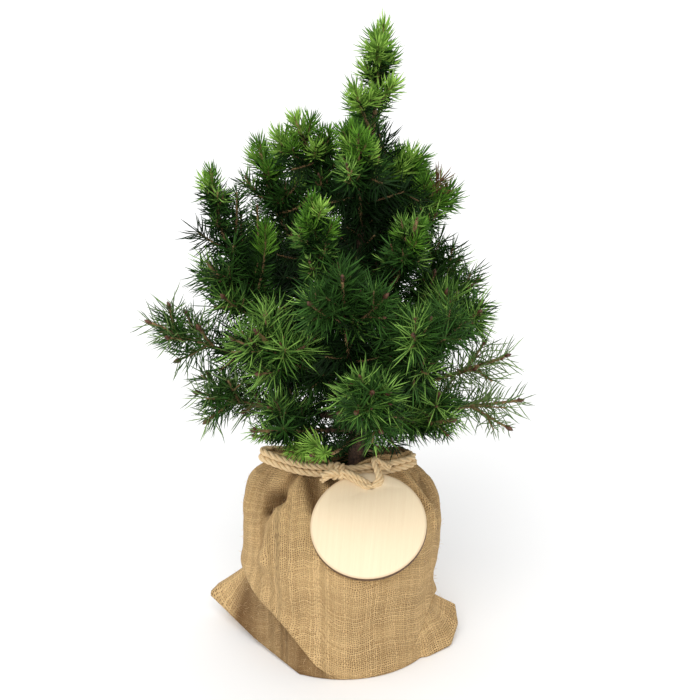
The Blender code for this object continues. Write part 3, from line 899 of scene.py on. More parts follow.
def buildRope(material):
    shape = newShape()
    place = tagPlace()
    hole = place @ Vector((0, tagShape["radius"] - tagShape["holeSetback"], 0))
    face = (place.to_3x3() @ up).normalized()
    for lift, further in ropeShape["turns"]:
        loop = smoothPath(neckLoop(60, lift, further), 300)
        twistedCord(shape, loop, ropeShape["radius"], ropeShape["laysPerMetre"])
    knot, thick = ropeShape["knot"], ropeShape["knotRadius"]
    wraps = []
    for k in range(27):                    # two turns of the knot round the rope
        turn = 2 * math.pi * k / 12 + 0.6
        wraps.append(knot + Vector((-0.0036 + 0.0034 * k / 12, -math.cos(turn) * 0.0036,
                                    math.sin(turn) * 0.0038)))
    twistedCord(shape, smoothPath(wraps, 90), thick, ropeShape["knotLays"], taper=(0.8, 0.8))
    for tail in ropeShape["tails"]:
        points = [knot + Vector(step) for step in tail]
        twistedCord(shape, smoothPath(points, 26), thick, ropeShape["knotLays"], taper=(1.0, 0.9))
    under = hole - face * 0.0030
    over = hole + face * 0.0014
    strands = [
        [knot + Vector((0.0012, -0.0030, 0.0010)), knot + Vector((0.0060, -0.0046, 0.0014)),
         knot + Vector((0.0110, -0.0058, -0.0004)), over + Vector((-0.0030, 0.0012, 0.0016)),
         over - face * 0.0006, under],
        [knot + Vector((0.0010, -0.0026, -0.0012)), knot + Vector((0.0056, -0.0040, -0.0016)),
         knot + Vector((0.0100, -0.0050, -0.0030)), over + Vector((-0.0040, -0.0008, 0.0002)),
         over - face * 0.0004, under],
        [under, over + Vector((0.0012, 0, 0.0004)), over + Vector((0.0040, 0.0020, 0.0050)),
         Vector((0.0188, -0.0130, 0.1238)), Vector((0.0240, -0.0118, 0.1212)),
         Vector((0.0290, -0.0118, 0.1188))],
        [under + Vector((0.0006, 0, 0)), over + Vector((0.0018, 0.0002, -0.0004)),
         over + Vector((0.0056, 0.0016, 0.0030)), Vector((0.0222, -0.0136, 0.1190)),
         Vector((0.0280, -0.0124, 0.1180))],
    ]
    for strand in strands:
        slim = thick * ropeShape["tieShare"]
        twistedCord(shape, smoothPath(strand, 48), slim, ropeShape["tieLays"], taper=(0.9, 0.85))
    return addObject("neckRope", shapeMesh("neckRope", shape), material)


# tag: round plywood disc hung from the rope, bare on both faces
tagShape = {
    "radius": 0.035,
    "thickness": 0.0032,
    "lean": 51.5,                          # degrees its face turns up from level
    "turn": -6,
    "centre": (0.0153, -0.0410, 0.0934),
    "holeRadius": 0.0024,
    "holeSetback": 0.0088,
    "bevel": 0.00022,
}


def tagPlace():
    lean = Matrix.Rotation(math.radians(90 - tagShape["lean"]), 4, "X")
    turn = Matrix.Rotation(math.radians(tagShape["turn"]), 4, "Z")
    return Matrix.Translation(tagShape["centre"]) @ turn @ lean


def discMesh(name, radius, thickness, segments):
    disc = bmesh.new()
    bmesh.ops.create_cone(disc, cap_ends=True, segments=segments, depth=thickness,
                          radius1=radius, radius2=radius)
    mesh = bpy.data.meshes.new(name)
    disc.to_mesh(mesh)
    disc.free()
    return mesh


def buildTag():
    blank = addObject("tagBlank", discMesh("tagBlank", tagShape["radius"], tagShape["thickness"], 160))
    drill = addObject("tagDrill", discMesh("tagDrill", tagShape["holeRadius"], 3 * tagShape["thickness"], 48))
    drill.location.y = tagShape["radius"] - tagShape["holeSetback"]
    cut = blank.modifiers.new("hole", "BOOLEAN")
    cut.operation = "DIFFERENCE"
    cut.object = drill
    soften = blank.modifiers.new("soften", "BEVEL")
    soften.width = tagShape["bevel"]
    soften.segments = 2
    soften.limit_method = "ANGLE"
    soften.angle_limit = math.radians(50)
    mesh = meshOf(blank)
    dropObject(blank)
    dropObject(drill)
    mesh.name = "woodenTag"
    mesh.uv_layers.new(name="surface")
    layer = mesh.uv_layers["surface"]
    for face in mesh.polygons:
        face.material_index = 0 if abs(face.normal.z) > 0.8 else 1
        for corner in face.loop_indices:
            place = mesh.vertices[mesh.loops[corner].vertex_index].co
            layer.data[corner].uv = (place.x, place.y)
    mesh.transform(tagPlace())
    mesh.shade_smooth()
    mesh.set_sharp_from_angle(angle=math.radians(40))
    return addObject("woodenTag", mesh, paleWood(), burntEdge())


# skeleton: the same rule that places the solids
trunkShape = {
    "stations": [                          # height, sideways, radius
        (0.0943, 0.0070, 0.0085),
        (0.0980, 0.0072, 0.0062),
        (0.1100, 0.0078, 0.0052),
        (0.1500, 0.0090, 0.0046),
        (0.2000, 0.0098, 0.0040),
        (0.2500, 0.0105, 0.0033),
        (0.2850, 0.0115, 0.0027),
        (0.3180, 0.0164, 0.0020),
    ],
    "treeTip": Vector((0.0240, 0.0, 0.3965)),
    "crownMiddle": 0.010,
    "sunk": 0.004,                         # how far the trunk goes on into the peat
    "sides": 28,
    "rings": 190,
    "relief": 0.0007,
}

limbs = {                                  # height on the trunk, side, reach, tip height, upsweep
    "left_top": (0.272, 182, 0.037, 0.334, 0.5),
    "right_top": (0.285, 10, 0.036, 0.309, 0.2),
    "front_top": (0.268, -92, 0.038, 0.335, 0.4),
    "back_top": (0.268, 84, 0.042, 0.328, 0.5),
    "left_high": (0.192, 181, 0.087, 0.311, 1.0),
    "left_back_high": (0.226, 156, 0.065, 0.311, 0.8),
    "left_inner": (0.184, 182, 0.090, 0.248, 0.5),
    "right_high": (0.240, 6, 0.047, 0.295, 0.5),
    "front_left_high": (0.208, -120, 0.054, 0.300, 0.8),
    "front_right_high": (0.218, -50, 0.050, 0.286, 0.6),
    "back_right_high": (0.228, 55, 0.058, 0.290, 0.6),
    "front_middle": (0.178, -98, 0.072, 0.262, 0.7),
    "right_middle": (0.184, 2, 0.072, 0.220, 0.5),
    "front_right": (0.172, -60, 0.078, 0.236, 0.5),
    "front_left": (0.176, -134, 0.084, 0.226, 0.5),
    "left_middle": (0.166, 178, 0.126, 0.207, 0.2),
    "back_left": (0.186, 132, 0.090, 0.245, 0.6),
    "back_middle": (0.182, 92, 0.086, 0.250, 0.6),
    "back_right": (0.176, 46, 0.088, 0.225, 0.5),
    "left_low": (0.146, 187, 0.098, 0.168, 0.2),
    "front_low": (0.158, -86, 0.094, 0.203, 0.4),
    "right_outer": (0.160, -3, 0.088, 0.189, 0.2),
    "right_low": (0.146, 4, 0.098, 0.155, 0.1),
    "front_base_left": (0.140, -144, 0.076, 0.158, 0.2),
    "front_base": (0.136, -104, 0.066, 0.152, 0.2),
    "front_base_right": (0.144, -42, 0.072, 0.166, 0.3),
    "back_low_left": (0.148, 128, 0.092, 0.175, 0.3),
    "back_low_right": (0.144, 66, 0.090, 0.165, 0.3),
}
massNames = list(limbs) + ["leader"]
trunkMasses = ("left_top", "right_top", "front_top", "back_top")     # these have no bough of their own
growth = {
    "boughRadius": (0.0021, 0.0013),
    "stemRadius": (0.0013, 0.0009),
    "shootLength": (0.032, 0.042),
    "swing": 50,
    "leaderSwing": 34,
    "stations": (0.08, 0.18, 0.29, 0.40, 0.51, 0.62),
    "turn": 137.5,
    "shootRoom": 0.0032,
    "floor": 0.1260,
    "skirt": [                             # sideways place, height where the front growth ends
        (-0.070, 0.130), (-0.034, 0.129), (-0.029, 0.118), (-0.009, 0.118), (-0.005, 0.141), (0.012, 0.141),
        (0.018, 0.121), (0.036, 0.119), (0.041, 0.128), (0.070, 0.134),
    ],
    "gap": 0.0003,
    "freshDepth": 0.015,                   # new growth keeps to this depth of a crown mass
    "seed": 21,
    "twigShare": (0.30, 0.44),             # of the shoot's length
    "lowTwigShare": (0.30, 0.62),
    "twigSwing": 44,
    "twigStations": (0.14, 0.72),          # first and last finer twig along a shoot
    "swingPlay": (-8, 8),                  # degrees, of shoots and finer twigs alike
    "twigRoom": -0.0030,                   # finer twigs may reach a little into the next mass
    "neckGap": (0.005, 0.004),             # shoots and finer twigs keep this far above the skirt
    "pathKept": {"leader": 0.89, "left_high": 0.86},      # stems cut short, the rest are whole
    "partSpread": (0.90, 1.06),
    "shootRadius": (0.0011, 0.0007),
    "fineRadius": (0.0007, 0.00045),
    "lateRadius": (0.0010, 0.0006),
    "needleOverNeck": (0.0050, 1.1),       # shortest needle over the neck, and share of the room there
}


def trunkPoint(height):
    return Vector((tableValue(trunkShape["stations"], height, 1), 0, height))


def trunkRadius(height):
    return tableValue(trunkShape["stations"], height, 2)


def limbEnds(name):
    leave, side, reach, tipHeight, upsweep = limbs[name]
    root = trunkPoint(leave)
    out = Vector((math.cos(math.radians(side)), math.sin(math.radians(side)), 0))
    tip = Vector((trunkShape["crownMiddle"], 0, tipHeight)) + out * reach
    outward, upward = 0.5 + 0.45 * upsweep, 0.5 - 0.40 * upsweep
    bend = Vector((mix(root.x, tip.x, outward), mix(root.y, tip.y, outward), mix(root.z, tip.z, upward)))
    return root, bend, tip


def limbPoint(name, share):
    root, bend, tip = limbEnds(name)
    return mix(mix(root, bend, share), mix(bend, tip, share), share)


def limbStart(name, radius):
    share = 0.0
    while True:
        share += 0.004
        point = limbPoint(name, share)
        ahead = (limbPoint(name, share + 0.02) - point).normalized()
        axis = trunkPoint(point.z)
        away = math.hypot(point.x - axis.x, point.y - axis.y)
        if away > trunkRadius(point.z - radius) + growth["gap"] + radius * abs(ahead.z) + 0.0002:
            return share


@functools.lru_cache(maxsize=None)
def cellCentre(name):
    if name == "leader":
        return mix(trunkPoint(trunkShape["stations"][-1][0]), trunkShape["treeTip"], 0.5)
    return limbPoint(name, 0.84)


def inCell(point, name, room=0.0):
    # a mass keeps to the points nearer its own centre than any other's
    own = cellCentre(name)
    for other in massNames:
        if other != name:
            centre = cellCentre(other)
            if (point - (own + centre) / 2).dot((centre - own).normalized()) > -room - growth["gap"]:
                return False
    return True


@functools.lru_cache(maxsize=None)
def massStart(name):
    share = 1.0
    while share > 0.28 and inCell(limbPoint(name, share - 0.02), name):
        share -= 0.02
    return share


def limbStretches():
    stations = trunkShape["stations"]
    stretches = [(trunkPoint(low[0]), trunkPoint(high[0]), low[2])
                 for low, high in zip(stations, stations[1:])]
    for name in limbs:
        if name not in trunkMasses:
            last = massStart(name)
            for k in range(4):
                ends = limbPoint(name, last * k / 4), limbPoint(name, last * (k + 1) / 4)
                stretches.append((*ends, growth["boughRadius"][0]))
    return stretches


def distanceTo(point, a, b):
    line = b - a
    share = max(0, min(1, (point - a).dot(line) / line.length_squared))
    return (point - a - line * share).length


def keepsInside(points, room, name, stretches):
    for point in points:
        if point.z < growth["floor"] + room or not inCell(point, name, room):
            return False
        for a, b, radius in stretches:
            if distanceTo(point, a, b) < radius + room + growth["gap"]:
                return False
    return True


def headings(ahead, roll, swing):
    across = ahead.cross(up).normalized()
    lift = across.cross(ahead)
    out = across * math.cos(roll) + lift * math.sin(roll)
    return (ahead * math.cos(swing) + out * math.sin(swing)).normalized()


def massAxes(name, number, stretches):
    # stem points and shoots of one mass, by the seeded rule
    rng = random.Random(growth["seed"] * 100 + number)
    if name == "leader":
        start = trunkPoint(trunkShape["stations"][-1][0]) + up * growth["gap"]
        path = [mix(start, trunkShape["treeTip"], k / 4) for k in range(5)]
    else:
        share = massStart(name)
        if name in trunkMasses:
            share = limbStart(name, growth["stemRadius"][0])
        path = [limbPoint(name, mix(share, 1, k / 6)) for k in range(7)]
        path[0] += (path[1] - path[0]).normalized() * growth["gap"]
    lengths = [0]
    for a, b in zip(path, path[1:]):
        lengths.append(lengths[-1] + (b - a).length)
    rows = list(zip(lengths, path))
    total = lengths[-1]
    longest = min(growth["shootLength"][1], 0.8 * total)
    shoots = [(tableValue(rows, total - longest, 1), path[-1])]
    spreadOut = growth["leaderSwing"] if name == "leader" else growth["swing"]
    firstTurn = rng.uniform(0, 360)
    for k, station in enumerate(growth["stations"]):
        at = total * station
        root = tableValue(rows, at, 1)
        ahead = (tableValue(rows, at + 0.002, 1) - root).normalized()
        roll = math.radians(firstTurn + growth["turn"] * k)
        swing = math.radians(spreadOut + rng.uniform(*growth["swingPlay"]))
        heading = headings(ahead, roll, swing)
        full = min(rng.uniform(*growth["shootLength"]), 0.58 * total)
        for length in (full, 0.8 * full, 0.6 * full):
            tip = root + heading * length
            probes = [mix(root, tip, part) for part in (0.25, 0.5, 0.75, 0.9)]
            if keepsInside(probes, growth["shootRoom"], name, stretches):
                shoots.append((root, tip))
                break
    return path, shoots


# share of the shoots kept (one, or one for each), upturn, finer twigs on a shoot, kind of growth
habits = {
    "leader": ((1.0, 0.5, 0.5, 0.36, 0.36, 0.5), 0.08, 2, "crown"),
    "left_top": (0.80, 0.70, 4, "crown"),
    "right_top": (0.72, 0.60, 4, "crown"),
    "front_top": (0.85, 0.75, 5, "crown"),
    "back_top": (0.85, 0.70, 4, "crown"),
    "left_high": ((0.25, 0.25, 0.30, 0.38, 0.25), 0.80, 3, "crown"),
    "left_back_high": ((0.70, 0.95, 0.70, 1.0, 0.60), 0.70, 3, "crown"),
    "right_high": (0.72, 0.60, 4, "crown"),
    "front_left_high": ((0.62, 0.36, 0.50, 0.62, 0.46, 0.25), 0.85, 5, "crown"),
    "front_right_high": ((0.60, 0.46, 0.62, 0.40, 0.55, 0.30), 0.80, 5, "crown"),
    "back_right_high": (0.85, 0.70, 4, "crown"),
    "left_inner": (0.80, 0.40, 3, "middle"),
    "front_middle": (0.95, 0.35, 4, "middle"),
    "right_middle": (0.85, 0.35, 3, "middle"),
    "front_right": (0.95, 0.30, 4, "middle"),
    "front_left": ((0.95, 0.75, 0.85, 1.0, 0.70, 0.80), 0.30, 4, "middle"),
    "back_left": (0.95, 0.35, 4, "middle"),
    "back_middle": (0.95, 0.35, 4, "middle"),
    "back_right": (0.95, 0.35, 4, "middle"),
    "front_low": ((0.85, 0.70, 0.95, 0.75, 0.60, 0.80), 0.20, 4, "middle"),
    "left_middle": (0.72, 0.15, 1, "outer"),
    "left_low": (0.76, 0.15, 2, "outer"),
    "right_outer": (0.70, 0.10, 1, "outer"),
    "right_low": (0.74, 0.05, 1, "outer"),
    "front_base_left": (0.85, 0.40, 3, "middle"),
    "front_base": (0.80, 0.35, 3, "middle"),
    "front_base_right": (0.85, 0.10, 3, "middle"),
    "back_low_left": (0.85, 0.15, 4, "middle"),
    "back_low_right": (0.85, 0.15, 4, "middle"),
}

fill = {                                   # old twigs on the bare inner wood
    "from": 0.30,                          # share of a bough where they begin
    "every": 0.0062,
    "length": (0.013, 0.023),
    "longer": {"left_back_high": 1.5, "left_inner": 1.3, "left_high": 1.05},
    "swing": 58,
    "trunkFrom": 0.116,
    "trunkTo": 0.312,
    "trunkEvery": 0.0042,
    "footTop": 0.180,                      # the trunk's foot is bare in front up to here
    "footEvery": 0.45,                     # and its twigs stand this much closer
    "leaders": (0.10, 0.22, 0.34, 0.46, 0.58),    # stations of the old twigs on the masses with no bough
    "leaderSwing": 72,
    "leaderLength": (0.020, 0.028),
    "radius": (0.0008, 0.0005),
}

lateShoots = [                             # single shoots between the masses: bough, share along it, tip
    ("left_high", 0.66, (-0.0618, 0.0000, 0.2900)),
    ("left_high", 0.52, (-0.0600, 0.0060, 0.2740)),
    ("left_high", 0.40, (-0.0500, 0.0000, 0.2810)),
    ("left_inner", 0.62, (-0.0450, -0.0060, 0.2700)),
    ("left_back_high", 0.66, (-0.0200, 0.0040, 0.2900)),
    ("left_back_high", 0.62, (-0.0240, 0.0160, 0.2960)),
    ("left_back_high", 0.50, (-0.0300, 0.0200, 0.2780)),
    ("left_back_high", 0.72, (-0.0250, 0.0080, 0.3020)),
]


def risen(root, heading, length, rise, rng):
    # a shoot sets off along its heading and turns up towards its tip
    ahead = (heading * (1 - rise) + up * rise).normalized()
    side = heading.cross(up)
    side = side.normalized() if side.length > 1e-6 else Vector((1, 0, 0))
    middle = root + heading * length * 0.52 + side * length * rng.uniform(-0.05, 0.05)
    tip = middle + ahead * length * 0.5
    return [mix(mix(root, middle, k / 6), mix(middle, tip, k / 6), k / 6) for k in range(7)]


def sideTwigs(line, count, share, rise, rng):
    # finer twigs along a shoot, turned round it by the same angle as the shoots round their stem
    twigs = []
    first, last = growth["twigStations"]
    length = sum((b - a).length for a, b in zip(line, line[1:]))
    for n in range(count):
        station = mix(first, last, (n + rng.uniform(0.2, 0.8)) / max(1, count))
        at = station * (len(line) - 1)
        k = min(int(at), len(line) - 2)
        foot = mix(line[k], line[k + 1], at - k)
        ahead = (line[k + 1] - line[k]).normalized()
        swing = math.radians(growth["twigSwing"] + rng.uniform(*growth["swingPlay"]))
        heading = headings(ahead, rng.uniform(0, 0.6) + math.radians(growth["turn"] * n), swing)
        reach = length * rng.uniform(*share) * (1.15 - 0.5 * station)
        twigs.append(risen(foot, heading, reach, rise * 0.7, rng))
    return twigs


def neckRoom(point):
    # how far a point of the front growth is above the line where it ends over the neck and the trunk's foot
    if point.y > (-0.004 if -0.016 < point.x < 0.030 else 0.012):
        return 1.0
    return point.z + 0.404 * point.y - float(np.interp(point.x, *zip(*growth["skirt"])))


def growMass(name, number, stretches):
    # every axis of one mass, carried on to finer twigs: points, foot and tip radius, order
    path, shoots = massAxes(name, number, stretches)
    keep, rise, twigs, look = habits[name]
    rng = random.Random(growth["seed"] * 1000 + number)
    kept = growth["pathKept"].get(name, 1)
    shootGap, twigGap = growth["neckGap"]
    share = growth["twigShare" if look == "crown" else "lowTwigShare"]
    if kept < 1:
        ends = path
        path = [mix(ends[0], ends[-1], kept * k / 4) for k in range(5)] if name == "leader" else [
            mix(ends[int(kept * k)], ends[min(6, int(kept * k) + 1)], kept * k % 1) for k in range(7)]
    axes = [{"points": path, "radii": growth["stemRadius"], "order": 0, "end": True}]
    for k, (root, tip) in enumerate(shoots):
        if k == 0:
            line = [mix(root, path[-1], n / 6) for n in range(7)]
        else:
            part = (keep[k - 1] if isinstance(keep, tuple) else keep) * rng.uniform(*growth["partSpread"])
            line = risen(root, (tip - root).normalized(), (tip - root).length * part, rise, rng)
        if min(neckRoom(line[3]), neckRoom(line[-1])) < shootGap:
            continue
        axes.append({"points": line, "radii": growth["shootRadius"], "order": 1, "end": k == 0})
        for twig in sideTwigs(line, twigs, share, rise, rng):
            inside = keepsInside([twig[3], twig[6]], growth["twigRoom"], name, stretches)
            if inside and neckRoom(twig[6]) > twigGap:
                axes.append({"points": twig, "radii": growth["fineRadius"], "order": 2, "end": False})
    for axis in axes:
        axis["mass"], axis["look"] = name, look
    return axes


def oldTwig(line, mass):
    return {"points": line, "radii": fill["radius"], "order": 4, "end": False, "mass": mass, "look": "inner"}


def fillBough(name, number):
    # old twigs on the part of a bough that its mass leaves bare
    rng = random.Random(growth["seed"] * 2000 + number)
    last = massStart(name)
    twigs = []
    along, share, step = 0.0, fill["from"] * last, 0
    previous = limbPoint(name, share)
    while share < last:
        share += 0.01
        point = limbPoint(name, share)
        along += (point - previous).length
        previous = point
        if along < fill["every"]:
            continue
        along, step = 0.0, step + 1
        ahead = (limbPoint(name, share + 0.02) - point).normalized()
        swing = math.radians(fill["swing"] + rng.uniform(-10, 10))
        heading = headings(ahead, math.radians(growth["turn"] * step), swing)
        line = risen(point, heading, rng.uniform(*fill["length"]) * fill["longer"].get(name, 1), 0.25, rng)
        if line[-1].z > growth["floor"] + 0.006 and neckRoom(line[-1]) > 0.006:
            twigs.append(line)
    return twigs


def fillTrunk():
    rng = random.Random(growth["seed"])
    twigs = []
    height, step = fill["trunkFrom"], 0
    while height < fill["trunkTo"]:
        turn = math.radians(growth["turn"] * step)
        heading = Vector((math.cos(turn), math.sin(turn), rng.uniform(0.3, 0.9))).normalized()
        length = rng.uniform(*fill["length"]) * (0.8 if height > 0.28 else 1.05)
        aboveFoot = height > fill["footTop"]
        if aboveFoot or heading.y > 0.1:
            twigs.append(risen(trunkPoint(height), heading, length, 0.35 if aboveFoot else 0.10, rng))
        height += fill["trunkEvery"] * (1 if aboveFoot else fill["footEvery"])
        step += 1
    return twigs


def growPlant():
    stretches = limbStretches()
    axes = []
    for number, name in enumerate(massNames):
        axes.extend(growMass(name, number, stretches))
    for number, name in enumerate(limbs):
        if name in trunkMasses:
            path = axes[[axis["mass"] for axis in axes].index(name)]["points"]
            rng = random.Random(growth["seed"] * 3000 + number)
            for k, station in enumerate(fill["leaders"]):
                root = mix(path[0], path[-1], station)
                roll = math.radians(growth["turn"] * k + 40)
                heading = headings((path[-1] - path[0]).normalized(), roll, math.radians(fill["leaderSwing"]))
                length = rng.uniform(*fill["leaderLength"])
                axes.append(oldTwig(risen(root, heading, length, 0.1, rng), name))
            continue
        bare = massStart(name)
        core = [limbPoint(name, mix(fill["from"], 1.0, k / 12) * bare) for k in range(13)]
        axes.append({"points": core, "radii": None, "order": 3, "end": False, "mass": name, "look": "inner"})
        axes.extend(oldTwig(line, name) for line in fillBough(name, number))
    for name, share, tip in lateShoots:
        root, tip = limbPoint(name, share), Vector(tip)
        bend = Vector((tip.x, tip.y, mix(root.z, tip.z, 0.4)))
        axes.append({"points": [mix(mix(root, bend, k / 6), mix(bend, tip, k / 6), k / 6) for k in range(7)],
                     "radii": growth["lateRadius"], "order": 1, "end": True, "mass": name, "look": "crown"})
    axes.extend(oldTwig(line, "leader") for line in fillTrunk())
    return axes


# wood: trunk and boughs with the bark's relief, then the twigs
boughShape = {
    "rings": 34,
    "sides": 10,
    "collar": (0.0011, 4),                 # thicker by this at the trunk, fading over so many rings
}


def barkRelief(point):
    plate = noise.noise(Vector((point.x * 380, point.y * 380, point.z * 130)))
    grain = noise.noise(Vector((point.x * 1100, point.y * 1100, point.z * 420)))
    return trunkShape["relief"] * (plate - abs(grain) * 0.7)


def boughRelief(point):
    return 0.00032 * noise.noise(point * 700) + 0.00022 * noise.noise(point * 1900)


def buildLimbs():
    shape = newShape()
    stations = trunkShape["stations"]
    foot = Vector((stations[0][1], 0, stations[0][0] - trunkShape["sunk"]))
    line = smoothPath([foot] + [trunkPoint(row[0]) for row in stations], trunkShape["rings"])
    radii = [trunkRadius(point.z) for point in line]
    sweep(shape, line, radii, trunkShape["sides"], barkRelief)
    for name in limbs:
        if name in trunkMasses:
            continue
        last = massStart(name)
        rings = boughShape["rings"]
        points = [limbPoint(name, last * k / rings) for k in range(rings + 1)]
        foot, tip = growth["boughRadius"]
        collar, fade = boughShape["collar"]
        radii = [mix(foot, tip, k / rings) + collar * math.exp(-k / fade) for k in range(rings + 1)]
        sweep(shape, points, radii, boughShape["sides"], boughRelief)
    return addObject("barkLimbs", shapeMesh("barkLimbs", shape), sproutBark())


def buildTwigs(axes):
    shape = newShape()
    for axis in axes:
        if not axis["radii"]:
            continue
        points = smoothPath(axis["points"], 12 if axis["order"] < 2 else 7)
        foot, tip = axis["radii"]
        radii = [mix(foot, tip, k / (len(points) - 1)) for k in range(len(points))]
        sweep(shape, points, radii, 6 if axis["order"] < 2 else 5)
    return addObject("twigs", shapeMesh("twigs", shape), mottled("youngTwig"))


# steps that the trees for needles, buds and scatter share
def chance(tree, low, high, seed):
    # an even random number for each point
    node = addNode(tree, "FunctionNodeRandomValue", {"Min": low, "Max": high, "Seed": seed},
                   data_type="FLOAT")
    return node.outputs[1]


def pointMark(tree, name, kind="FLOAT"):
    return addNode(tree, "GeometryNodeInputNamedAttribute", {"Name": name}, data_type=kind).outputs[0]


def turnedBy(tree, rotation, euler):
    # turns in the pattern's own axes
    by = addNode(tree, "FunctionNodeEulerToRotation")
    plug(tree, by.inputs[0], euler)
    node = addNode(tree, "FunctionNodeRotateRotation", rotation_space="LOCAL")
    plug(tree, node.inputs[0], rotation)
    plug(tree, node.inputs[1], by.outputs[0])
    return node.outputs[0]


def setPattern(tree, given, points, rotation, scale):
    # the pattern on every point
    pattern = addNode(tree, "GeometryNodeObjectInfo", {"Object": given["Pattern"]})
    placed = addNode(tree, "GeometryNodeInstanceOnPoints",
                     {"Points": points, "Instance": pattern.outputs["Geometry"],
                      "Rotation": rotation, "Scale": scale})
    return placed.outputs[0]


def endTree(tree, given, end, placed):
    real = addNode(tree, "GeometryNodeRealizeInstances", {"Geometry": placed})
    finished = addNode(tree, "GeometryNodeSetMaterial",
                       {"Geometry": real.outputs[0], "Material": given["Material"]})
    tree.links.new(finished.outputs[0], end.inputs["Geometry"])


# needles: one spray tree, used for every age of growth
needleKinds = {
    # shadeNeedles: painted shade, near-black copies of the needles for the plant's shaded inside
    "shadeNeedles": {"spacing": 0.00032, "width": 0.00084, "footLean": 68, "tipLean": 50, "uneven": 14,
                     "shade": colour(0.003, 0.012, 0.002), "light": colour(0.012, 0.040, 0.007),
                     "foot": colour(0.020, 0.030, 0.008)},
    "oldNeedles": {"spacing": 0.00032, "width": 0.00075, "footLean": 64, "tipLean": 42, "uneven": 17,
                   "shade": colour(0.006, 0.026, 0.003), "light": colour(0.052, 0.142, 0.023),
                   "foot": colour(0.050, 0.080, 0.018)},
    "sparseNeedles": {"spacing": 0.00092, "width": 0.00070, "footLean": 66, "tipLean": 48, "uneven": 12,
                      "shade": colour(0.036, 0.085, 0.014), "light": colour(0.215, 0.325, 0.105),
                      "foot": colour(0.080, 0.110, 0.030)},
    "summerNeedles": {"spacing": 0.00050, "width": 0.00066, "footLean": 60, "tipLean": 34, "uneven": 17,
                      "shade": colour(0.022, 0.080, 0.006), "light": colour(0.300, 0.530, 0.105),
                      "foot": colour(0.110, 0.160, 0.035)},
    "freshNeedles": {"spacing": 0.00019, "width": 0.00072, "footLean": 50, "tipLean": 22, "uneven": 9,
                     "shade": colour(0.018, 0.072, 0.004), "light": colour(0.172, 0.385, 0.040),
                     "foot": colour(0.060, 0.100, 0.020)},
    "dryNeedles": {"spacing": 0.00032, "width": 0.00078, "footLean": 60, "tipLean": 30, "uneven": 18,
                   "shade": colour(0.050, 0.020, 0.010), "light": colour(0.220, 0.120, 0.050),
                   "foot": colour(0.060, 0.030, 0.015)},
    "limeNeedles": {"spacing": 0.00018, "width": 0.00074, "footLean": 50, "tipLean": 22, "uneven": 9,
                    "shade": colour(0.060, 0.160, 0.014), "light": colour(0.450, 0.725, 0.130),
                    "foot": colour(0.090, 0.140, 0.030)},
}


def needlePattern():
    # one needle, a unit long and wide: three sides, bowed, drawn to a point
    rings = [(0.0, 0.40, 0.0), (0.66, 0.50, -0.60)]
    verts = []
    for height, radius, bow in rings:
        for k in range(3):
            turn = 2 * math.pi * k / 3
            verts.append((radius * math.cos(turn), radius * math.sin(turn) + bow, height))
    verts.append((0, 0, 1))
    faces = [(2, 1, 0)]
    for k in range(3):
        n = (k + 1) % 3
        faces.append((k, n, n + 3, k + 3))
        faces.append((k + 3, n + 3, 6))
    mesh = bpy.data.meshes.new("needlePattern")
    mesh.from_pydata(verts, [], faces)
    along = mesh.attributes.new("along", "FLOAT", "POINT")
    along.data.foreach_set("value", [vert[2] for vert in verts])
    return addObject("needlePattern", mesh)


def makeSprayTree():
    tree, start, end = newGroup("needleSpray", "GeometryNodeTree",
                                {"Geometry": None, "Pattern": None, "Spacing": 0.0005, "Width": 0.0009,
                                 "Foot Lean": 60.0, "Tip Lean": 30.0, "Uneven": 12.0, "Seed": 1,
                                 "Material": None}, ["Geometry"])
    given = start.outputs
    curve = addNode(tree, "GeometryNodeMeshToCurve", {"Mesh": given["Geometry"]})
    factor = addNode(tree, "GeometryNodeSplineParameter")
    marked = addNode(tree, "GeometryNodeStoreNamedAttribute",
                     {"Geometry": curve.outputs[0], "Name": "stemShare", "Value": factor.outputs["Factor"]},
                     data_type="FLOAT", domain="POINT")
    spots = addNode(tree, "GeometryNodeCurveToPoints",
                    {"Curve": marked.outputs[0], "Length": given["Spacing"]}, mode="LENGTH")
    index = addNode(tree, "GeometryNodeInputIndex").outputs[0]
    turn = maths(tree, "MULTIPLY", index, math.radians(growth["turn"]))
    wobble = chance(tree, -0.35, 0.35, given["Seed"])
    roll = addNode(tree, "ShaderNodeCombineXYZ", {"Z": maths(tree, "ADD", turn, wobble)})
    share = pointMark(tree, "stemShare")
    lean = mixFloat(tree, maths(tree, "POWER", share, 1.6), given["Foot Lean"], given["Tip Lean"])
    jitter = chance(tree, -1.0, 1.0, maths(tree, "ADD", given["Seed"], 7))
    lean = maths(tree, "MULTIPLY_ADD", jitter, given["Uneven"], lean)
    pitch = addNode(tree, "ShaderNodeCombineXYZ", {"X": maths(tree, "RADIANS", lean)})
    rolled = turnedBy(tree, spots.outputs["Rotation"], roll.outputs[0])
    aimed = turnedBy(tree, rolled, pitch.outputs[0])
    length = pointMark(tree, "needle")
    size = chance(tree, 0.70, 1.14, maths(tree, "ADD", given["Seed"], 19))
    scale = addNode(tree, "ShaderNodeCombineXYZ", {"X": given["Width"], "Y": given["Width"],
                                                   "Z": maths(tree, "MULTIPLY", length, size)})
    placed = setPattern(tree, given, spots.outputs["Points"], aimed, scale.outputs[0])
    tint = chance(tree, 0.0, 1.0, maths(tree, "ADD", given["Seed"], 31))
    tinted = addNode(tree, "GeometryNodeStoreNamedAttribute",
                     {"Geometry": placed, "Name": "tint", "Value": tint},
                     data_type="FLOAT", domain="INSTANCE")
    endTree(tree, given, end, tinted.outputs[0])
    return tree


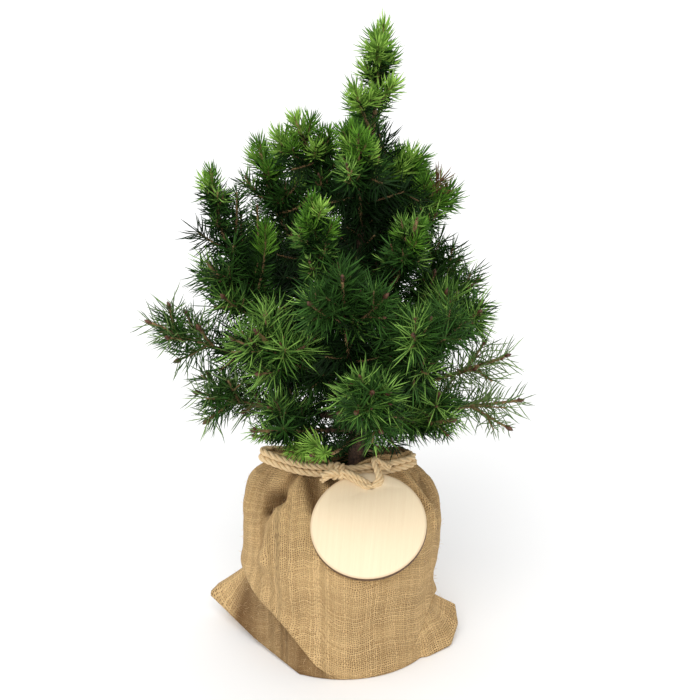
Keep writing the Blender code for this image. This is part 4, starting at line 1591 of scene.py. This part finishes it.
def runTree(piece, tree, values):
    # a modifier with this tree, its inputs set by the sockets' identifiers, made a plain mesh
    modifier = piece.modifiers.new("tree", "NODES")
    modifier.node_group = tree
    for item in tree.interface.items_tree:
        if item.item_type == "SOCKET" and item.in_out == "INPUT" and item.name in values:
            modifier[item.identifier] = values[item.name]
    mesh = meshOf(piece)
    dropObject(piece)
    return mesh


sprays = {                                 # needle length at the foot and the tip of a spray, and its age
    "inner": (0.0150, 0.0150),
    "innerShade": 0.8,                     # share of the inner twigs in the deepest shade
    "stem": (0.0125, 0.0140),
    "crownFoot": (0.0125, 0.0112),
    "crownOld": 0.6,                       # share of these with old needles, the rest in shade
    "crownTip": (0.0134, 0.0106),
    "crownSummer": 0.4,                    # share of summer tufts below the new growth
    "lime": {"leader": 0.7, "left_inner": 0.0},
    "limeElse": 0.3,
    "duller": ("right_high", "front_right_high"),         # half of their tufts are summer growth
    "smaller": 0.84,                       # tufts of the front and of the far left
    "dry": (0.0150, 0.0130),
    "middleFoot": (0.0155, 0.0175),
    "middleShade": 0.3,
    "middleTip": (0.0185, 0.0150),
    "bright": ("front_left", "front_base_left", "front_base", "right_middle"),
    "summer": (0.85, 0.28, 0.60),          # share of summer tips: bright masses, high ones, the rest
    "highFrom": 0.215,
    "overRope": (0.020, -0.034, -0.006),   # lime shoots over the rope: room over the neck, left, right
    "leftOld": 0.42,                       # share of the far left twigs with old needles at the foot
    "leftFoot": (0.0165, 0.0160),
    "leftTip": (0.0176, 0.0165),
    "outer": (0.0184, 0.0174),
}


def crownLines(axis, points, rng):
    # a crown shoot: old or shaded foot, then a tuft of new growth where it reaches the top of its mass
    mass, first = axis["mass"], axis["order"] == 1
    top = limbs.get(mass, (0, 0, 0, 0.30))[3]
    tuft = "limeNeedles" if rng.random() < sprays["lime"].get(mass, sprays["limeElse"]) else "freshNeedles"
    if axis["points"][-1].z <= top - growth["freshDepth"]:
        tuft = "summerNeedles" if rng.random() < sprays["crownSummer"] else "oldNeedles"
    elif mass in sprays["duller"]:
        tuft = "summerNeedles" if rng.random() < 0.5 else "freshNeedles"
    cut = (3 if mass == "leader" else 8) if axis["end"] else 6 if first else 4
    foot = "oldNeedles" if rng.random() < sprays["crownOld"] else "shadeNeedles"
    lines = [(foot, points[:cut + 1], *sprays["crownFoot"])]
    if mass == "right_high" and axis["end"]:
        lines.append(("dryNeedles", points[9:], *sprays["dry"]))          # a dried tip
        tuft = "sparseNeedles"
    small = sprays["smaller"] if mass.startswith("front") or mass == "left_high" else 1.0
    lines.append((tuft, points[cut:], *(length * small for length in sprays["crownTip"])))
    return lines


def middleLines(axis, points, rng):
    mass = axis["mass"]
    foot = "shadeNeedles" if rng.random() < sprays["middleShade"] else "oldNeedles"
    bright, high, rest = sprays["summer"]
    summer = bright if mass in sprays["bright"] else high if limbs[mass][3] > sprays["highFrom"] else rest
    tip = "summerNeedles" if rng.random() < summer else "oldNeedles"
    room, left, right = sprays["overRope"]
    if neckRoom(points[-1]) < room and left < points[-1].x < right:
        tip = "limeNeedles"
    return [(foot, points[:7], *sprays["middleFoot"]), (tip, points[6:], *sprays["middleTip"])]


def sprayLines(axes):
    # deals the axes out by age: each line is (kind, points, needle length at foot, at tip)
    lines = []
    for number, axis in enumerate(axes):
        rng = random.Random(number)
        order, look = axis["order"], axis["look"]
        points = smoothPath(axis["points"], 12)
        if look == "inner":
            shaded = order == 3 or rng.random() < sprays["innerShade"]
            lines.append(("shadeNeedles" if shaded else "oldNeedles", points, *sprays["inner"]))
        elif order == 0:
            first = 6 if axis["mass"] == "leader" else 0             # the leader's stem shows bare below
            kind = "shadeNeedles" if look != "outer" else "sparseNeedles"
            lines.append((kind, points[first:9], *sprays["stem"]))
        elif look == "crown":
            lines.extend(crownLines(axis, points, rng))
        elif look == "middle":
            lines.extend(middleLines(axis, points, rng))
        elif axis["mass"].startswith("left") and rng.random() < sprays["leftOld"]:
            lines.append(("oldNeedles", points[:9], *sprays["leftFoot"]))
            lines.append(("sparseNeedles", points[8:], *sprays["leftTip"]))
        else:
            lines.append(("sparseNeedles", points, *sprays["outer"]))
    return lines


def clearOfNeck(point, size):
    # needles over the sack's neck are short enough to leave the rope and the trunk's foot in sight
    shortest, share = growth["needleOverNeck"]
    return min(size, max(shortest, share * neckRoom(point)))


def buildNeedles(axes):
    lines = sprayLines(axes)
    tree = makeSprayTree()
    pattern = needlePattern()
    pieces = []
    for seed, (kind, look) in enumerate(needleKinds.items()):
        verts, edges, sizes = [], [], []
        for lineKind, points, foot, tip in lines:
            if lineKind == kind:
                first = len(verts)
                verts.extend(tuple(point) for point in points)
                edges.extend((first + k, first + k + 1) for k in range(len(points) - 1))
                for k, point in enumerate(points):
                    sizes.append(clearOfNeck(point, mix(foot, tip, k / (len(points) - 1))))
        mesh = bpy.data.meshes.new(kind + "Lines")
        mesh.from_pydata(verts, edges, [])
        mesh.attributes.new("needle", "FLOAT", "POINT").data.foreach_set("value", sizes)
        guide = addObject(kind + "Lines", mesh)
        material = needleGreen(kind, look["shade"], look["light"], look["foot"])
        spray = runTree(guide, tree, {"Pattern": pattern, "Spacing": look["spacing"], "Width": look["width"],
                                      "Foot Lean": float(look["footLean"]),
                                      "Tip Lean": float(look["tipLean"]), "Uneven": float(look["uneven"]),
                                      "Seed": seed * 100 + 3, "Material": material})
        spray.name = kind
        pieces.append(addObject(kind, spray))
    dropObject(pattern)
    return pieces


# buds: dark red-brown, a large one and smaller ones round it at the end of most shoots
budShape = {
    "length": 0.0046,
    "width": 0.0029,
    "sides": 7,
    "tips": {                              # by order: share that bears buds, size, smaller buds round it
        1: (0.85, 1.0, 4),
        2: (0.3, 0.62, 2),
    },
    "looks": {"crown": 0.6, "middle": 1.05, "outer": 1.0},
    "turn": 1.9,                           # radians between the smaller buds
    "swing": 48,                           # degrees they stand off the tip
    "setBack": (0.0004, 0.0016),
    "smaller": (0.45, 0.7),
    "sunk": 0.0008,                        # a full-sized bud starts this far inside its tip
}


def budPattern():
    rings = [(0.0, 0.20), (0.16, 0.44), (0.42, 0.50), (0.72, 0.30)]
    sides = budShape["sides"]
    verts = []
    for row, (height, radius) in enumerate(rings):
        for k in range(sides):
            turn = 2 * math.pi * (k + 0.5 * row) / sides
            verts.append((radius * math.cos(turn), radius * math.sin(turn), height))
    verts.append((0, 0, 1))
    faces = [tuple(reversed(range(sides)))]
    for row in range(len(rings) - 1):
        for k in range(sides):
            n = (k + 1) % sides
            a, b = row * sides, (row + 1) * sides
            faces.append((a + k, a + n, b + k))
            faces.append((a + n, b + n, b + k))
    last = (len(rings) - 1) * sides
    faces.extend((last + k, last + (k + 1) % sides, len(verts) - 1) for k in range(sides))
    mesh = bpy.data.meshes.new("budPattern")
    mesh.from_pydata(verts, [], faces)
    return addObject("budPattern", mesh)


def makeBudTree():
    tree, start, end = newGroup("budTips", "GeometryNodeTree",
                                {"Geometry": None, "Pattern": None, "Length": 0.003, "Width": 0.002,
                                 "Seed": 1, "Material": None}, ["Geometry"])
    given = start.outputs
    ahead = pointMark(tree, "ahead", "FLOAT_VECTOR")
    aim = addNode(tree, "FunctionNodeAlignRotationToVector", {"Vector": ahead}, axis="Z")
    size = chance(tree, 0.8, 1.15, given["Seed"])
    size = maths(tree, "MULTIPLY", size, pointMark(tree, "share"))
    width = maths(tree, "MULTIPLY", given["Width"], size)
    scale = addNode(tree, "ShaderNodeCombineXYZ", {"X": width, "Y": width,
                                                   "Z": maths(tree, "MULTIPLY", given["Length"], size)})
    placed = setPattern(tree, given, given["Geometry"], aim.outputs[0], scale.outputs[0])
    endTree(tree, given, end, placed)
    return tree


def buildBuds(axes):
    verts, ways, shares = [], [], []
    for number, axis in enumerate(axes):
        rng = random.Random(number + 5000)
        bearing, main, smaller = budShape["tips"].get(axis["order"], (0, 0, 0))
        if not smaller or rng.random() > bearing:
            continue
        points = axis["points"]
        ahead = (points[-1] - points[-2]).normalized()
        main *= budShape["looks"][axis["look"]]
        turn = rng.uniform(0, 6)
        spots = [(points[-1], ahead, main)]
        for n in range(smaller):
            way = headings(ahead, turn + budShape["turn"] * n, math.radians(budShape["swing"]))
            place = points[-1] - ahead * rng.uniform(*budShape["setBack"])
            spots.append((place, way, main * rng.uniform(*budShape["smaller"])))
        for place, way, share in spots:
            verts.append(tuple(place - way * budShape["sunk"] * share))
            ways.extend(way)
            shares.append(share)
    mesh = bpy.data.meshes.new("budSpots")
    mesh.from_pydata(verts, [], [])
    mesh.attributes.new("ahead", "FLOAT_VECTOR", "POINT").data.foreach_set("vector", ways)
    mesh.attributes.new("share", "FLOAT", "POINT").data.foreach_set("value", shares)
    pattern = budPattern()
    made = runTree(addObject("budSpots", mesh), makeBudTree(),
                   {"Pattern": pattern, "Length": budShape["length"], "Width": budShape["width"], "Seed": 4,
                    "Material": mottled("budScales")})
    dropObject(pattern)
    made.name = "buds"
    made.shade_smooth()
    return addObject("buds", made)


# scatter: loose jute fibres on the cloth, crumbs on the peat
def makeScatterTree():
    tree, start, end = newGroup("scatter", "GeometryNodeTree",
                                {"Geometry": None, "Pattern": None, "Density": 1000.0, "Smallest": 0.001,
                                 "Largest": 0.002, "Tilt": 1.0, "Lowest": 0.0, "Seed": 1,
                                 "Material": None}, ["Geometry"])
    given = start.outputs
    position = addNode(tree, "GeometryNodeInputPosition").outputs[0]
    height = addNode(tree, "ShaderNodeSeparateXYZ", {"Vector": position}).outputs[2]
    above = maths(tree, "GREATER_THAN", height, given["Lowest"])
    density = maths(tree, "MULTIPLY", given["Density"], above)
    spots = addNode(tree, "GeometryNodeDistributePointsOnFaces",
                    {"Mesh": given["Geometry"], "Density": density, "Seed": given["Seed"]})
    turns = addNode(tree, "FunctionNodeRandomValue", {"Seed": given["Seed"]}, data_type="FLOAT_VECTOR")
    tilt = maths(tree, "MULTIPLY", given["Tilt"], -1.0)
    low = addNode(tree, "ShaderNodeCombineXYZ", {"X": tilt, "Y": tilt, "Z": -3.1})
    high = addNode(tree, "ShaderNodeCombineXYZ", {"X": given["Tilt"], "Y": given["Tilt"], "Z": 3.1})
    plug(tree, turns.inputs[0], low.outputs[0])
    plug(tree, turns.inputs[1], high.outputs[0])
    aimed = turnedBy(tree, spots.outputs["Rotation"], turns.outputs[0])
    size = chance(tree, given["Smallest"], given["Largest"], given["Seed"])
    placed = setPattern(tree, given, spots.outputs["Points"], aimed, size)
    endTree(tree, given, end, placed)
    return tree


def fibrePattern():
    # a bent hair a unit long, three-sided
    shape = newShape()
    bends = [(0, 0, -0.02), (0.10, 0, 0.30), (0.34, 0.05, 0.58), (0.66, 0.04, 0.74)]
    points = [Vector(bend) for bend in bends]
    sweep(shape, points, [0.030, 0.030, 0.026, 0.012], 3)
    return addObject("fibrePattern", shapeMesh("fibrePattern", shape))


def crumbPattern():
    crumb = bmesh.new()
    bmesh.ops.create_icosphere(crumb, subdivisions=1, radius=0.5)
    for vert in crumb.verts:
        vert.co *= 1 + 0.45 * noise.noise(vert.co * 3.1 + Vector((4, 1, 7)))
        vert.co.z *= 0.6
    mesh = bpy.data.meshes.new("crumbPattern")
    crumb.to_mesh(mesh)
    crumb.free()
    return addObject("crumbPattern", mesh)


def scatterOn(ground, name, tree, pattern, material, **values):
    copy = addObject(name + "Ground", ground.data.copy())
    made = runTree(copy, tree, {"Pattern": pattern, "Material": material, **values})
    made.name = name
    dropObject(pattern)
    return addObject(name, made)


# studio: pale floor, soft light from above and in front
def buildStudio():
    mesh = bpy.data.meshes.new("floor")
    reach = 8.0
    corners = [(-reach, -reach, 0), (reach, -reach, 0), (reach, reach, 0), (-reach, reach, 0)]
    mesh.from_pydata(corners, [], [(0, 1, 2, 3)])
    material, tree, shader = newMaterial("paleFloor", 0.7)
    patch = useGroup(tree, mottleGroup, {"Vector": objectPlace(tree), "Scale": 3.0, "Contrast": 0.5})
    base = mixColour(tree, patch.outputs["Mask"], colour(0.90, 0.90, 0.90), colour(0.93, 0.93, 0.93))
    tree.links.new(base, shader.inputs["Base Color"])
    addObject("floor", mesh, material)
    world = bpy.data.worlds.new("softStudio")
    world.use_nodes = True
    sky = world.node_tree
    glow = sky.nodes["Background"]
    glow.inputs["Color"].default_value = colour(1.0, 1.0, 1.0)
    seen = addNode(sky, "ShaderNodeLightPath").outputs["Is Camera Ray"]
    plug(sky, glow.inputs["Strength"], mixFloat(sky, seen, 0.53, 1.0))
    bpy.context.scene.world = world
    lamps = [                              # name, where it shines from, power, softness in degrees
        ("keyLight", (-0.15, -1.0, 0.95), 1.9, 45),
        ("fillLight", (-0.95, -0.45, 0.80), 0.58, 70),
        ("sideLight", (0.95, -0.45, 0.80), 0.30, 70),
        ("backLight", (0.1, 1.1, 1.0), 0.8, 80),
    ]
    for name, place, power, soft in lamps:
        data = bpy.data.lights.new(name, "SUN")
        data.energy = power
        data.angle = math.radians(soft)
        lamp = bpy.data.objects.new(name, data)
        bpy.context.scene.collection.objects.link(lamp)
        lamp.rotation_mode = "QUATERNION"
        lamp.rotation_quaternion = (-Vector(place)).to_track_quat("-Z", "Y")
    bpy.context.scene.view_settings.view_transform = "Standard"


buildStudio()
print("studio ready")

foliageNodes = ["foliage_" + name for name in massNames]
boughNodes = ["bough_" + name for name in limbs if name not in trunkMasses]

sack = buildSack()
scatterTree = makeScatterTree()
ropeMaterial = juteRope()
soilMaterial = mottled("peatSoil")
fibres = scatterOn(sack, "juteFibres", scatterTree, fibrePattern(), ropeMaterial,
                   Density=26000.0, Smallest=0.0012, Largest=0.0030, Tilt=0.9, Lowest=0.004, Seed=11)
settle(sack, "jute_cloth", "jute_sack")
settle(fibres, "jute_cloth")

ball = buildBall(soilMaterial)
crumbs = scatterOn(ball, "peatCrumbs", scatterTree, crumbPattern(), soilMaterial,
                   Density=260000.0, Smallest=0.0006, Largest=0.0026, Tilt=3.0, Lowest=0.074, Seed=5)
settle(ball, "peat_soil", "root_ball")
settle(crumbs, "peat_soil", "root_ball")

settle(buildRope(ropeMaterial), "jute_rope", "neck_rope")
settle(buildTag(), "pale_plywood", "wooden_tag")
print("sack, ball, rope and tag ready")

settle(buildLimbs(), "spruce_bark", "trunk", *boughNodes)
plantAxes = growPlant()
print("grown", len(plantAxes), "stems, shoots and twigs")
settle(buildTwigs(plantAxes), "spruce_bark", *foliageNodes)
settle(buildBuds(plantAxes), "spruce_needles", *foliageNodes)
for spray in buildNeedles(plantAxes):
    settle(spray, "spruce_needles", *foliageNodes)
print("plant ready")
